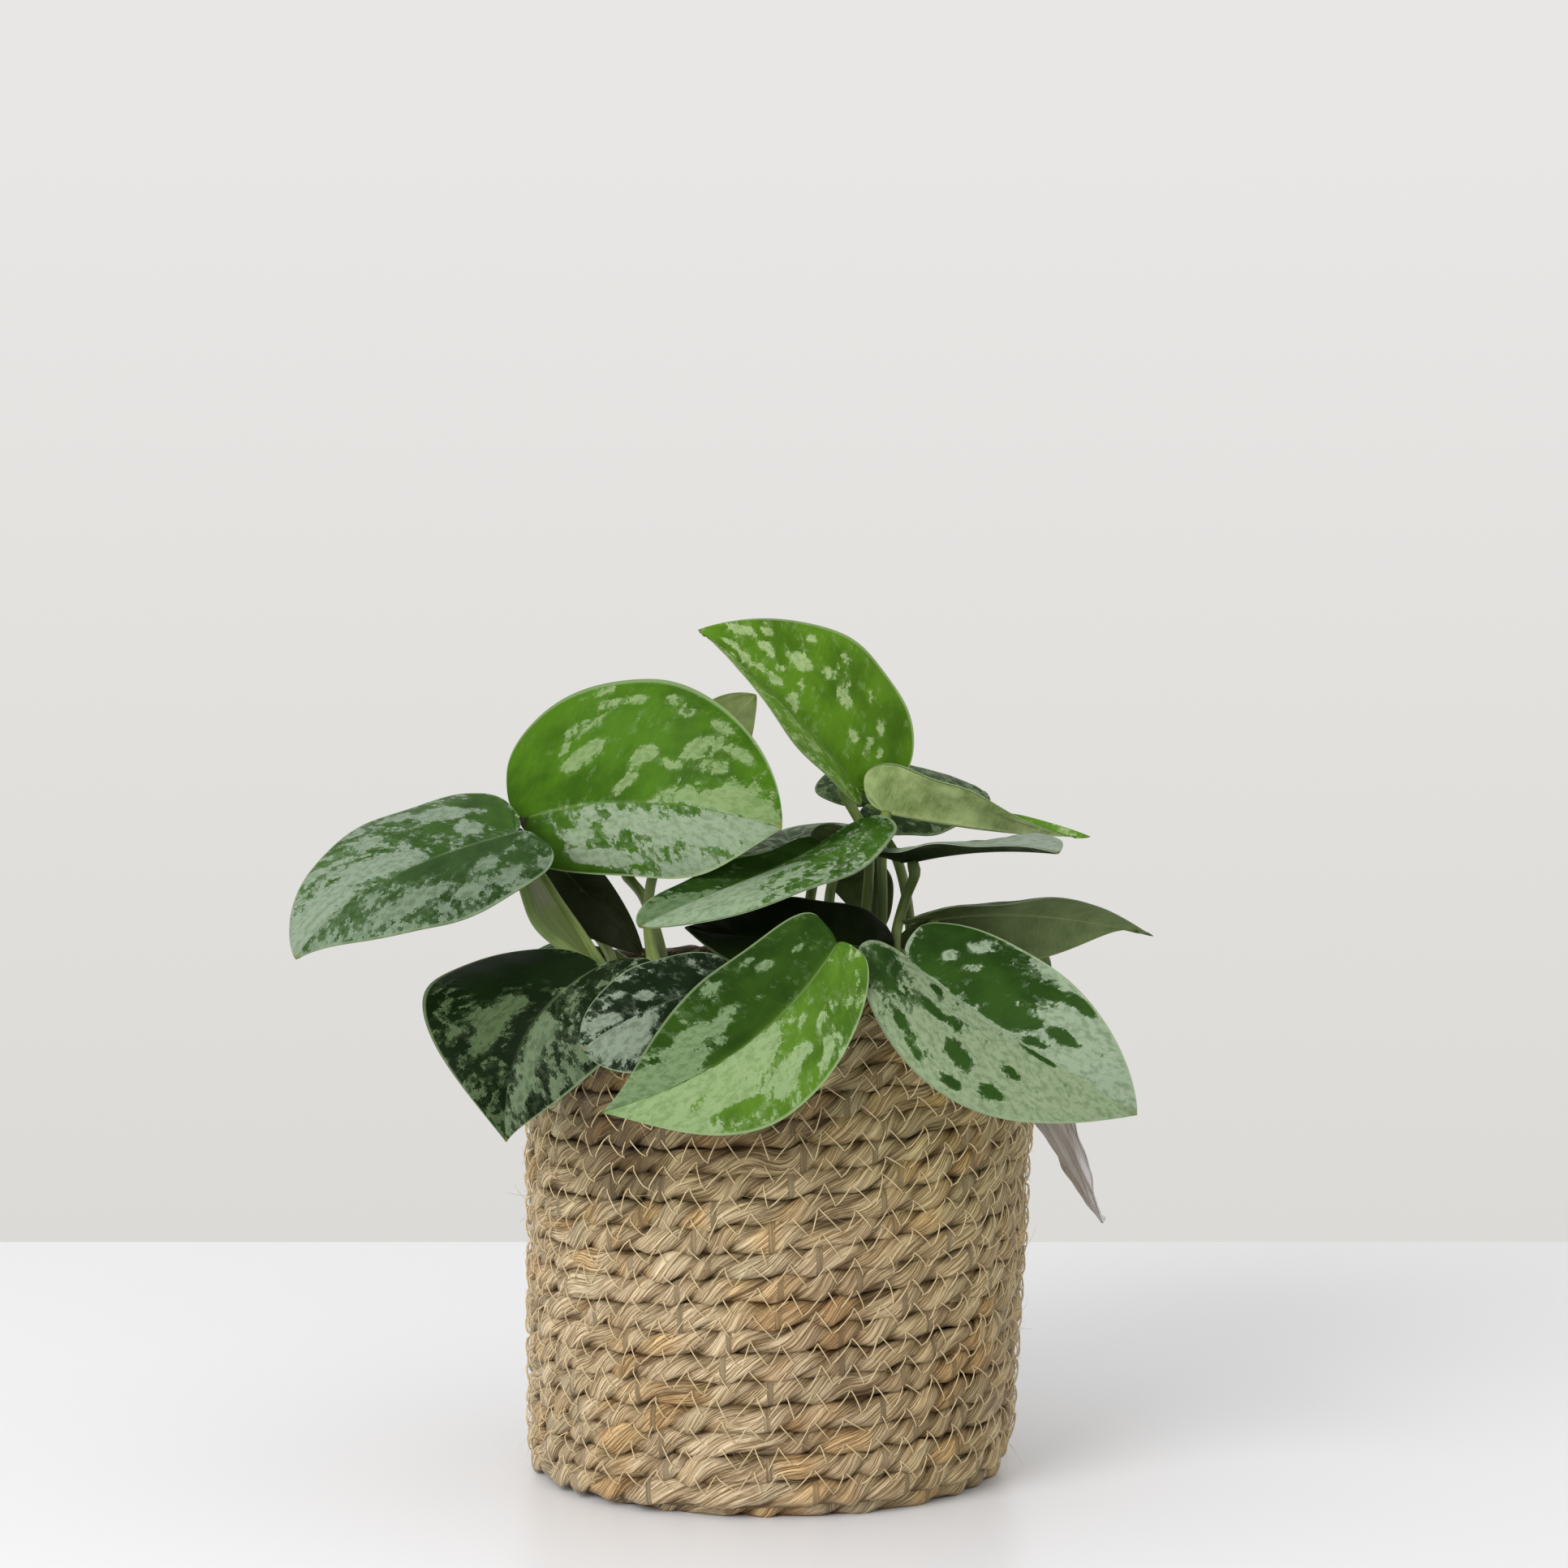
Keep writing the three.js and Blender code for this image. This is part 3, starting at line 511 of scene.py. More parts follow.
# How each blade is marked. Pairs are for the left and the right half, seen from above with the
# tip ahead. cover leans a half to silver, above 0, or to green; edge and tip add silver there,
# and gloss is the shader's specular level.
# A spot is (share of the way to the tip, place out from the midrib, half length, half width,
# strength); places out are above 0 on the left half, and a strength below 0 makes a green isle.
LOOKS = {
    "leaf_01_far_left": dict(
        green=((52, 76, 40), (58, 86, 38)), silver=((110, 127, 106), (124, 139, 121)),
        cover=(-0.3, -0.35), edge=0.3, tip=0.5, seed=3, spots=[
        (0.41, 0.75, 0.036, 0.1, 0.9), (0.45, 0.45, 0.036, 0.12, 0.8), (0.5, 0.68, 0.036, 0.1, 0.8),
        (0.58, 0.55, 0.036, 0.1, 0.9), (0.64, 0.6, 0.036, 0.14, 0.9), (0.72, 0.7, 0.048, 0.14, 0.7),
        (0.5, 0.12, 0.216, 0.16, -0.9), (0.36, -0.55, 0.03, 0.08, 1),
        (0.41, -0.25, 0.042, 0.12, 1.1), (0.45, -0.58, 0.06, 0.16, 1.2),
        (0.55, -0.78, 0.036, 0.1, 0.9), (0.63, -0.15, 0.06, 0.12, 1.1), (0.71, -0.3, 0.06, 0.2, 1),
        (0.66, -0.62, 0.036, 0.14, 0.7), (0.27, -0.5, 0.12, 0.5, -0.7),
        (0.5, -0.38, 0.048, 0.1, -0.6), (0.92, -0.4, 0.16, 0.7, 0.7)]),
    "leaf_02_round_upright": dict(
        green=((66, 102, 24), (60, 92, 28)), silver=((116, 138, 92), (127, 143, 119)),
        cover=(-0.86, -0.4), edge=0.02, tip=0.5, seed=11, spots=[
        (0.455, 0.66, 0.034, 0.09, 1.4), (0.52, 0.81, 0.054, 0.05, 1.3),
        (0.47, 0.93, 0.024, 0.04, 1.1), (0.62, 0.86, 0.026, 0.07, 1.2),
        (0.65, 0.8, 0.024, 0.06, 1.2), (0.44, 0.4, 0.03, 0.1, 1.4), (0.48, 0.44, 0.03, 0.09, 1.4),
        (0.415, 0.52, 0.014, 0.05, 1.1), (0.61, 0.4, 0.034, 0.1, 1.4),
        (0.68, 0.36, 0.036, 0.05, 1.0), (0.585, 0.13, 0.024, 0.1, 1.5),
        (0.73, 0.62, 0.03, 0.16, 1.4), (0.78, 0.5, 0.03, 0.12, 1.0), (0.74, 0.86, 0.024, 0.08, 1.2),
        (0.81, 0.78, 0.03, 0.09, 1.3), (0.8, 0.1, 0.1, 0.16, 1.15), (0.96, 0.4, 0.12, 0.5, 1.3),
        (0.41, -0.42, 0.036, 0.14, 1.1), (0.49, -0.14, 0.019, 0.1, 1.2),
        (0.46, -0.72, 0.072, 0.12, 1.2), (0.28, -0.6, 0.12, 0.6, -0.8),
        (0.42, -0.95, 0.072, 0.1, -1), (0.72, -0.45, 0.264, 0.62, 0.36),
        (0.7, -0.95, 0.24, 0.12, 0.5), (0.62, -0.3, 0.06, 0.16, 0.9), (0.78, -0.5, 0.09, 0.3, 0.8),
        (0.97, -0.4, 0.1, 0.6, 0.9)]),
    "leaf_03_top": dict(
        green=((96, 136, 48), (84, 122, 34)), silver=((140, 164, 104), (146, 168, 116)),
        cover=(-0.35, -0.72), edge=0.0, tip=0.45, seed=5, spots=[
        (0.87, -0.75, 0.027, 0.1, 1.3), (0.9, -0.35, 0.03, 0.12, 1.2), (0.84, -0.2, 0.02, 0.08, 1.2),
        (0.66, -0.3, 0.014, 0.05, 1.2), (0.5, -0.7, 0.014, 0.05, 1.2),
        (0.8, -0.76, 0.018, 0.06, 1.2), (0.79, -0.5, 0.018, 0.1, 1.3), (0.7, -0.8, 0.018, 0.05, 1.3),
        (0.7, -0.5, 0.032, 0.1, 1.5), (0.62, -0.56, 0.019, 0.06, 1.4),
        (0.605, -0.78, 0.013, 0.04, 1.2), (0.55, -0.47, 0.027, 0.08, 1.3),
        (0.45, -0.33, 0.022, 0.06, 1.4), (0.42, -0.6, 0.018, 0.06, 1.4),
        (0.4, -0.45, 0.013, 0.05, 1.1), (0.35, -0.5, 0.011, 0.07, 1.1),
        (0.75, -0.17, 0.054, 0.06, 1.4), (0.65, -0.1, 0.027, 0.06, 1.3),
        (0.53, 0.5, 0.018, 0.16, 1.1)]),
    # Painted shade: the right half's green and silver are darker, as that half lies in shade.
    "leaf_05_middle": dict(
        green=((62, 94, 36), (42, 64, 28)), silver=((131, 149, 123), (92, 114, 82)),
        cover=(-0.45, -0.9), edge=0.1, tip=1.4, gloss=0.0, seed=8, spots=[
        (0.67, 0.14, 0.084, 0.12, 1.5), (0.79, 0.2, 0.096, 0.2, 1.3), (0.58, 0.25, 0.036, 0.1, 1),
        (0.48, 0.4, 0.024, 0.14, 0.8), (0.66, 0.5, 0.036, 0.12, 0.7), (0.9, -0.5, 0.12, 0.5, 1.3),
        (0.87, 0.6, 0.14, 0.45, 1.0)]),
    # Painted shade: the whole blade is near-black green, as it lies in the shade of the leaves above.
    "leaf_06_shaded": dict(
        green=[(26, 36, 16)] * 2, silver=[(42, 54, 34)] * 2,
        cover=[-0.8] * 2, edge=0.0, tip=0.0, seed=9),
    # Painted shade: the right half's green and silver are darker, as that half lies in shade.
    "leaf_07_front": dict(
        green=((78, 112, 36), (46, 72, 24)), silver=((128, 150, 106), (109, 131, 94)),
        cover=(-0.5, -0.75), edge=0.1, tip=0.6, seed=21, spots=[
        (0.385, -0.5, 0.02, 0.06, 1.4), (0.47, -0.62, 0.02, 0.08, 1.4),
        (0.485, -0.82, 0.017, 0.05, 1.1), (0.58, -0.85, 0.026, 0.07, 1.3),
        (0.6, -0.5, 0.026, 0.08, 1.4), (0.64, -0.42, 0.036, 0.1, 1.4), (0.7, -0.6, 0.048, 0.14, 1.3),
        (0.8, -0.45, 0.12, 0.45, 1.0), (0.7, -0.1, 0.12, 0.1, -0.8), (0.9, -0.4, 0.12, 0.7, 1.2),
        (0.58, 0.16, 0.026, 0.14, 1.5), (0.48, 0.26, 0.017, 0.08, 1.1),
        (0.44, 0.45, 0.017, 0.07, 1.2), (0.46, 0.8, 0.017, 0.12, 1.2), (0.54, 0.6, 0.048, 0.16, 1.3),
        (0.8, 0.45, 0.216, 0.75, 1.5), (0.77, 0.55, 0.022, 0.2, -1.5),
        (0.67, 0.74, 0.06, 0.12, -1.3)]),
    "leaf_08_behind_front": dict(
        green=[(26, 40, 22)] * 2, silver=[(114, 127, 110)] * 2,
        cover=[-0.5] * 2, edge=0.3, tip=0.3, seed=6, spots=[
        (0.62, -0.3, 0.06, 0.14, 1.2), (0.7, -0.62, 0.03, 0.1, 1.1), (0.84, -0.35, 0.072, 0.25, 1.1),
        (0.77, 0.35, 0.108, 0.45, 1.3), (0.72, 0.08, 0.072, 0.08, -0.8),
        (0.94, 0.1, 0.096, 0.8, 1.2)]),
    # Painted shade: both halves are darkened, as the blade lies in shade.
    "leaf_09_low_left": dict(
        green=((22, 34, 14), (20, 34, 13)), silver=((92, 108, 82), (74, 90, 62)),
        cover=(-0.3, -0.45), edge=0.0, tip=0.55, seed=14, spots=[
        (0.6, -0.3, 0.06, 0.18, 1), (0.69, -0.35, 0.048, 0.14, 0.9), (0.64, 0.14, 0.084, 0.14, 1.1),
        (0.71, 0.3, 0.06, 0.14, 0.8), (0.8, 0.35, 0.06, 0.25, 0.6), (0.63, -0.78, 0.018, 0.08, 0.8),
        (0.35, -0.5, 0.168, 0.6, -0.9), (0.72, -0.05, 0.06, 0.08, -0.9), (0.92, 0, 0.096, 0.7, 0.7)]),
    "leaf_10_low_right": dict(
        green=((44, 70, 26), (46, 72, 30)), silver=((130, 146, 122), (126, 143, 112)),
        cover=(0.55, 0.5), edge=0.25, tip=0.5, seed=17, spots=[
        (0.42, 0.42, 0.24, 0.62, -1.5), (0.6, 0.12, 0.084, 0.2, -1.5), (0.4, 0.45, 0.03, 0.12, 1.4),
        (0.47, 0.43, 0.024, 0.09, 1.3), (0.46, 0.76, 0.03, 0.14, 1.4),
        (0.55, 0.12, 0.017, 0.12, 1.4), (0.67, 0.28, 0.019, 0.1, -1.9),
        (0.64, 0.72, 0.024, 0.1, -1.9), (0.74, 0.42, 0.036, 0.12, -1.9),
        (0.7, 0.9, 0.036, 0.1, -1.9), (0.71, 0.1, 0.024, 0.06, -1.9), (0.28, -0.6, 0.12, 0.4, -1.2),
        (0.45, -0.75, 0.034, 0.06, -1.7), (0.51, -0.84, 0.024, 0.06, -1.7),
        (0.47, -0.35, 0.036, 0.06, -1.9), (0.42, -0.1, 0.024, 0.05, -1.9),
        (0.53, -0.3, 0.022, 0.07, -1.7), (0.57, -0.56, 0.034, 0.12, -1.8),
        (0.59, -0.86, 0.024, 0.06, -1.7), (0.69, -0.45, 0.019, 0.06, -1.7),
        (0.66, -0.76, 0.03, 0.07, -1.9), (0.75, -0.05, 0.06, 0.05, -1.9),
        (0.34, 0.9, 0.14, 0.22, -1.1)]),
    "leaf_04_behind_round": dict(
        green=[(120, 146, 84)] * 2, silver=[(152, 172, 130)] * 2,
        cover=[-0.3] * 2, seed=47),
    "leaf_11_right": dict(
        green=[(42, 60, 28)] * 2, silver=[(96, 110, 80)] * 2,
        cover=[-0.3] * 2, seed=41),
    "leaf_12_young": dict(
        green=[(84, 124, 40)] * 2, silver=[(140, 160, 108)] * 2,
        cover=[-0.45] * 2, edge=0.0, seed=42),
    "leaf_13_behind_young": dict(
        green=[(44, 68, 28)] * 2, silver=[(104, 122, 90)] * 2,
        cover=[-0.3] * 2, seed=43),
    "leaf_14_level": dict(
        green=[(66, 84, 62)] * 2, silver=[(132, 144, 130)] * 2,
        cover=[0.7] * 2, seed=44),
    # Painted shade: dark all over, as it hangs in shade behind the stems.
    "leaf_15_hanging": dict(
        green=[(20, 28, 14)] * 2, silver=[(70, 84, 60)] * 2,
        cover=[-0.6] * 2, edge=0.0, seed=45),
    # Painted shade: dark all over, as it lies in shade under the leaves in front.
    "leaf_16_inner_left": dict(
        green=[(40, 46, 30)] * 2, silver=[(60, 64, 46)] * 2,
        cover=[-0.7] * 2, edge=0.0, tip=0.0, seed=46),
}
LOOK_DEFAULT = dict(
    green=((54, 76, 36), (50, 72, 34)), silver=((114, 132, 104), (112, 130, 102)),
    cover=(-0.15, -0.1), edge=0.2, tip=0.3, gloss=0.08, spots=[])
UNDERS = {
    # Painted light: the lit underside, that of leaf_04, is painted bright for light shining through
    # the blade.
    "lit": dict(light=(226, 240, 176), deep=(186, 206, 124), vein=(214, 226, 170)),
    "pale": dict(light=(196, 214, 150), deep=(106, 128, 68), vein=(190, 206, 150)),
    "olive": dict(light=(110, 126, 82), deep=(82, 98, 58), vein=(122, 138, 94)),
    # Painted shade: the dark underside, that of leaf_14, is painted dark for the deep shade it lies
    # in.
    "dark": dict(light=(58, 68, 44), deep=(38, 48, 28), vein=(70, 82, 54)),
}
UNDER_OF = {
    "leaf_02_round_upright": "pale", "leaf_03_top": "pale", "leaf_04_behind_round": "lit",
    "leaf_12_young": "pale", "leaf_14_level": "dark",
}
LEAN = 0.35  # how far the side veins, and the blotches with them, run to the tip as they go out
LEAF_IOR = 1.4
HALF_SHIFT = 4.3  # sets the two halves' noise apart
PALE_RIM = colour(140, 160, 118)
BROWN_TIP = (112, 110, 52)


def blend(first, second, share):
    return tuple(a + (b - a) * share for a, b in zip(first, second))


def blade_frame(leaf):
    base, tip = np.array(leaf["base"], float), np.array(leaf["tip"], float)
    length = np.linalg.norm(tip - base)
    along = (tip - base) / length
    level = unit(UP - along * along[2])
    side = np.cross(level, along)
    roll = math.radians(leaf["roll"])
    left = side * math.cos(roll) + np.cross(along, side) * math.sin(roll)
    up = level * math.cos(roll) + np.cross(along, level) * math.sin(roll)
    return dict(base=base, length=length, along=along, left=left, up=up)


def bezier(a, b, c, d, t):
    a, b, c, d = (np.array(p, float)[None] for p in (a, b, c, d))
    t = t[:, None]
    return a * (1 - t) ** 3 + 3 * b * t * (1 - t) ** 2 + 3 * c * t**2 * (1 - t) + d * t**3


def margin_of(leaf, length, side):
    """One half's flat margin, and each point's share of the way from sinus to tip in CAD steps."""
    width, lobe, point = (leaf[key][side] for key in ("width", "lobe", "point"))
    wide = leaf["wide"][side] * length
    corners = [
        ((0, 0), (-0.55 * lobe, 0.02 * width), (-lobe, 0.12 * width), (-lobe, 0.42 * width)),
        ((-lobe, 0.42 * width), (-lobe, 0.78 * width), (0.5 * (wide - lobe), width),
         (wide, width)),
        ((wide, width), (0.5 * (wide + length), width),
         ((1 - 0.6 * point) * length, (0.62 - 2.2 * point) * width), (length, 0)),
    ]
    points, shares, done = [], [], 0
    for steps, curve in zip(CAD_STEPS, corners):
        t = np.arange(1, steps * FINE + 1) / (steps * FINE)
        points.append(bezier(*curve, t))
        shares.append((done + t * steps) / sum(CAD_STEPS))
        done += steps
    return np.vstack(points), np.concatenate(shares)


def blade_points(leaf, frame, side, x, y):
    """Places on the blade from flat ones: x along the midrib, y out from it on one half."""
    share = x / frame["length"]
    fold = math.radians(leaf["fold"][side])
    width = leaf["width"][side]
    bend = math.radians(leaf["curl"][side]) / width
    sign = 1 if side == 0 else -1
    if bend:
        out = (np.sin(bend * y - fold) + math.sin(fold)) / bend
        rise = (np.cos(bend * y - fold) - math.cos(fold)) / bend
    else:
        out, rise = y * math.cos(fold), y * math.sin(fold)
    ripple = np.sin(2 * math.pi * WAVE["turns"] * share + side * WAVE["shift"])
    rise = rise + WAVE["height"] * (y / width) ** 2 * ripple
    twist = math.radians(leaf["twist"]) * share
    bow = 4 * share * (1 - share)
    ahead = np.clip(share, 0, 1)
    hook = leaf["hook"] * HOOK_PEAK * (ahead - ahead**5)
    left = sign * out * np.cos(twist) - rise * np.sin(twist) + leaf["sweep"] * bow
    up = sign * out * np.sin(twist) + rise * np.cos(twist) + leaf["arch"] * bow + hook
    return (frame["base"] + x[..., None] * frame["along"] + left[..., None] * frame["left"]
            + up[..., None] * frame["up"])


def blade_sheet(name):
    """The blade's middle surface as a grid from the right margin (column 0) to the left one.

    Returns its settings and frame, and for each point of the grid its place, its flat place in
    millimetres along and out from the midrib, its share of the way to the tip, its share of the
    way out (above 0 on the left half) and its number, with repeats merged. Last comes the outline.
    """
    leaf = {**LEAF_DEFAULTS, **LEAVES[name]}
    frame = blade_frame(leaf)
    lobe_end = CAD_STEPS[0] / sum(CAD_STEPS)
    halves, flats = [], []
    for side in (0, 1):
        margin, share = margin_of(leaf, frame["length"], side)
        rib = np.maximum(0, (share - lobe_end) / (1 - lobe_end)) ** RIB_EASE * frame["length"]
        out = np.linspace(0, 1, ROWS + 1)
        x = rib[:, None] + (margin[:, :1] - rib[:, None]) * out
        y = margin[:, 1:] * out
        halves.append(blade_points(leaf, frame, side, x, y))
        flats.append(np.stack([x, y], axis=2))
    places, flat = (
        np.concatenate([right[:, :0:-1], left], axis=1) for left, right in (halves, flats))
    rows, columns = places.shape[:2]
    signed = np.linspace(-1, 1, columns)[None].repeat(rows, 0)
    share = share[:, None].repeat(columns, 1)
    ids = np.arange(rows * columns).reshape(rows, columns)
    ids[share[:, 0] <= lobe_end + 1e-9, ROWS] = ids[0, ROWS]
    ids[-1] = ids[-1, ROWS]
    outline = [*ids[0, ROWS:], *ids[1:-1, -1], ids[-1, ROWS], *ids[1:-1, 0][::-1],
               *ids[0, :ROWS]]
    return leaf, frame, places, flat, share, signed, ids, [*map(int, outline)]


def normals_of(places, faces):
    points = places.reshape(-1, 3)
    normals = np.zeros_like(points)
    faces = np.array([face if len(face) == 4 else [*face, face[-1]] for face in faces])
    a, b, c, d = (points[faces[:, corner]] for corner in range(4))
    face_normals = np.cross(c - a, d - b)
    for corner in range(4):
        np.add.at(normals, faces[:, corner], face_normals)
    return unit(normals)


def leaf_piece(name, materials, crumple=0.0):
    leaf, frame, places, flat, share, signed, ids, outline = blade_sheet(name)
    rows, columns = ids.shape
    faces, corners = [], []
    for row, column in np.ndindex(rows - 1, columns - 1):
        kept = {}
        for spot in ((row, column), (row + 1, column), (row + 1, column + 1), (row, column + 1)):
            kept.setdefault(int(ids[spot]), spot)
        if len(kept) > 2:
            faces.append(list(kept))
            corners.append(list(kept.values()))
    normals = normals_of(places, faces)
    surface = np.stack([share, (signed + 1) / 2], axis=2)
    spot_of = {int(ids[spot]): spot for spot in np.ndindex(ids.shape)}
    share, signed = share.ravel(), signed.ravel()
    out = np.abs(signed)
    # Between its side veins the blade stands up a little, and no blade is quite even.
    quilt = np.sin(share * BLADE["veins"] * math.pi) ** 2 * out * (1 - out) * 4
    seed = LOOKS.get(name, {}).get("seed", int(name[5:7]))
    unrest = wander(share + 0.35 * signed, seed) * wander(signed * 0.5 + 2, seed + 50)
    relief = BLADE["quilt"] * quilt + (BLADE["unrest"] + crumple) * unrest * out
    relief += crumple * 0.5 * wander(share * 3 + signed, seed + 70) * out
    points = places.reshape(-1, 3) + normals * relief[:, None]
    half = np.full(len(points), BLADE["thick"] / 2)
    half[outline] = BLADE["edge"] / 2
    rib = bell(signed, BLADE["midrib"], 0, BLADE["midrib_width"]) * (1 - share) ** 0.7
    top = points + normals * (half - 0.35 * rib)[:, None]
    under = points - normals * (half + rib)[:, None]
    count = len(points)
    which = np.repeat((0, 1, 0), (len(faces), len(faces), len(outline)))
    faces += [[number + count for number in face[::-1]] for face in faces]
    corners += [kept[::-1] for kept in corners]
    for a, b in zip(outline, np.roll(outline, -1).tolist()):
        faces.append([b, a, a + count, b + count])
        corners.append([spot_of[number] for number in (b, a, a, b)])
    piece = part_piece(
        name, name, "withered_leaf" if "withered" in name else "leaf", np.vstack([top, under]),
        faces, materials, uv=[surface[spot] for kept in corners for spot in kept],
        face_materials=which)
    skew = np.where(signed > 0, *leaf["width"]) * LEAN / frame["length"]
    lean = silver_lean({**LOOK_DEFAULT, **LOOKS.get(name, {})}, share, signed, skew)
    along, away = np.tile(flat.reshape(-1, 2), (2, 1)).T
    give_values(piece, silver_lean=np.tile(lean, 2), along=along, away=away)


def silver_lean(look, share, signed, skew):
    """How far each point leans to silver, above 0, or to green, below 0."""
    out = np.abs(signed)
    lean = np.where(signed > 0, *look["cover"])
    lean = lean + look["edge"] * out**4 + look["tip"] * share**4
    for at_share, at_out, half_length, half_width, strength in look["spots"]:
        across = out - abs(at_out)
        along = share - at_share - skew * across
        near = (along / half_length) ** 2 + (across / half_width) ** 2
        lean = lean + strength * np.exp(-(near**2)) * (signed * at_out > 0)
    return lean


def leaf_top(name):
    """A blade's upper side: green, with silver blotches drawn out along the side veins."""
    look = {**LOOK_DEFAULT, "seed": int(name[5:7]) + 30, **LOOKS.get(name, {})}
    greens, silvers = ([colour(*value) for value in look[key]] for key in ("green", "silver"))
    mat = Shader(f"{name}_top", 0.48, look["gloss"], LEAF_IOR)
    share, place, _ = mat.split(mat.coordinates())
    signed = mat.math("MULTIPLY_ADD", place, 2.0, -1.0)
    out = mat.math("ABSOLUTE", signed)
    left = mat.math("GREATER_THAN", signed, 0.0)
    away = mat.attribute("away")
    leaning = mat.total(mat.attribute("along"), (away, -LEAN))
    # Millimetres along the blade, at a side vein's foot, and out from the midrib.
    flat = mat.joined(leaning, away, mat.math("MULTIPLY_ADD", left, HALF_SHIFT, look["seed"]))
    broad = mat.noise(flat, (0.13, 0.15, 1), 2.0, 0.5)
    bent = mat.warped(mat.scaled(flat, (0.36, 0.33, 1)), 0.8)
    speckle = mat.noise(flat, (1.5, 1.4, 1), roughness=0.7)
    parts = [(broad, 1.2), (mat.cells(bent, 1.0), 0.8), (mat.cells(bent, 2.4), 0.6),
             (speckle, 0.5)]
    level = mat.total(mat.attribute("silver_lean"), *parts)
    level = mat.math("ADD", level, -0.5 * sum(weight for _, weight in parts))
    side = mat.ramp(signed, -0.12, 0.12)
    tone = mat.noise(flat, (0.06, 0.08, 1), shift=(5, 5, 0))
    fibre = mat.noise(flat, (2.0, 0.2, 1))
    grain_and_glint = mat.noise(flat, (3.4, 3.0, 1), 2.0)
    # Where a blade's two halves differ much, as on leaf_05 and leaf_07, one half's colours are
    # painted shade.
    green = mat.mix(side, greens[1], greens[0])
    green = mat.tinted(mat.ramp(tone, 0.35, 0.7), green, 0.55, 0.6, 0.55)
    green = mat.tinted(mat.ramp(fibre, 0.35, 0.8, 0.0, 0.35), green, 1.5, 1.4, 1.3)
    faint = mat.ramp(level, -0.42, -0.12, 0.0, 0.2)
    mottle = mat.noise(flat, (0.42, 0.7, 1), shift=(0, 3, 0))
    silver = mat.math(
        "MULTIPLY", mat.ramp(level, -0.06, 0.06), mat.ramp(mottle, 0.36, 0.58, 0.64, 1.0))
    pale = mat.mix(side, silvers[1], silvers[0])
    pale = mat.tinted(mat.ramp(fibre, 0.35, 0.7, 0.15, 0.0), pale, 0.68, 0.76, 0.62)
    # Partly painted glint: the fine grain lightens the silver here and there, as its own speckle and
    # as the glints of its satin sheen.
    pale = mat.tinted(mat.ramp(grain_and_glint, 0.35, 0.65), pale, 1.14, 1.12, 1.14)
    surface = mat.mix(mat.math("MAXIMUM", faint, silver), green, pale)
    midrib = mat.math("MULTIPLY", mat.ramp(out, 0.03, 0.006), mat.ramp(share, 0.9, 0.3, 0.0, 0.45))
    surface = mat.mix(midrib, surface, blend(greens[0], PALE_RIM, 0.4))
    rim = mat.ramp(out, 0.955, 0.985, 0.0, 0.7)
    surface = mat.mix(rim, surface, blend(silvers[0], PALE_RIM, 0.5))
    surface = mat.mix(mat.ramp(share, 0.975, 0.995, 0.0, 0.7), surface, BROWN_TIP)
    veins = mat.humps(leaning, BLADE["vein_gap"])
    height = mat.total((veins, 0.2), (grain_and_glint, 0.4), (fibre, 0.5), (silver, 0.25))
    return mat.finished(surface, height, 0.25, 0.25)


def leaf_under(kind):
    """The paler underside, with its side veins showing a little."""
    light, deep, vein = (UNDERS[kind][key] for key in ("light", "deep", "vein"))
    mat = Shader(f"leaf_underside_{kind}", 0.55, 0.12, LEAF_IOR)
    place = mat.split(mat.coordinates())[1]
    out = mat.math("ABSOLUTE", mat.math("MULTIPLY_ADD", place, 2.0, -1.0))
    away = mat.attribute("away")
    leaning = mat.total(mat.attribute("along"), (away, -LEAN))
    flat = mat.joined(leaning, away)
    tone = mat.noise(flat, (0.07, 0.05, 1), 4.0)
    fibre = mat.noise(flat, (2.0, 0.25, 1))
    veins = mat.humps(leaning, BLADE["under_gap"])
    green = mat.mix(mat.ramp(tone, 0.3, 0.7), deep, light)
    for share in (mat.ramp(fibre, 0.35, 0.75, 0.0, 0.3), mat.ramp(veins, 0.2, 0.0, 0.0, 0.2),
                  mat.ramp(out, 0.05, 0.01, 0.0, 0.6), mat.ramp(out, 0.95, 0.99, 0.0, 0.7)):
        green = mat.mix(share, green, vein)
    grain_and_glint = mat.noise(mat.coordinates("Object"), 1800, 2.0)
    return mat.finished(green, mat.total((veins, 0.3), (grain_and_glint, 0.6), (fibre, 0.5)), 0.3, 0.25)


def withered_material():
    mat = Shader("withered_leaf", 0.8, 0.25)
    place = mat.coordinates()
    streak = mat.noise(place, (6, 46, 1), 4.0, 0.7)
    blotch = mat.noise(place, (5, 4, 1), 4.0, shift=(3, 1, 0))
    tan = mat.mix(mat.ramp(streak, 0.3, 0.7), (204, 200, 200), (250, 247, 249))
    tan = mat.mix(mat.ramp(blotch, 0.5, 0.75, 0.0, 0.5), tan, (212, 203, 196))
    return mat.finished(tan, streak, 0.7, 0.5)


def make_leaves():
    unders = {kind: leaf_under(kind) for kind in UNDERS}
    withered = withered_material()
    for name in LEAVES:
        if "withered" in name:
            leaf_piece(name, [withered, withered], crumple=1.4)
        else:
            leaf_piece(name, [leaf_top(name), unders[UNDER_OF.get(name, "olive")]])


# ---------------------------------------------------------------- stems

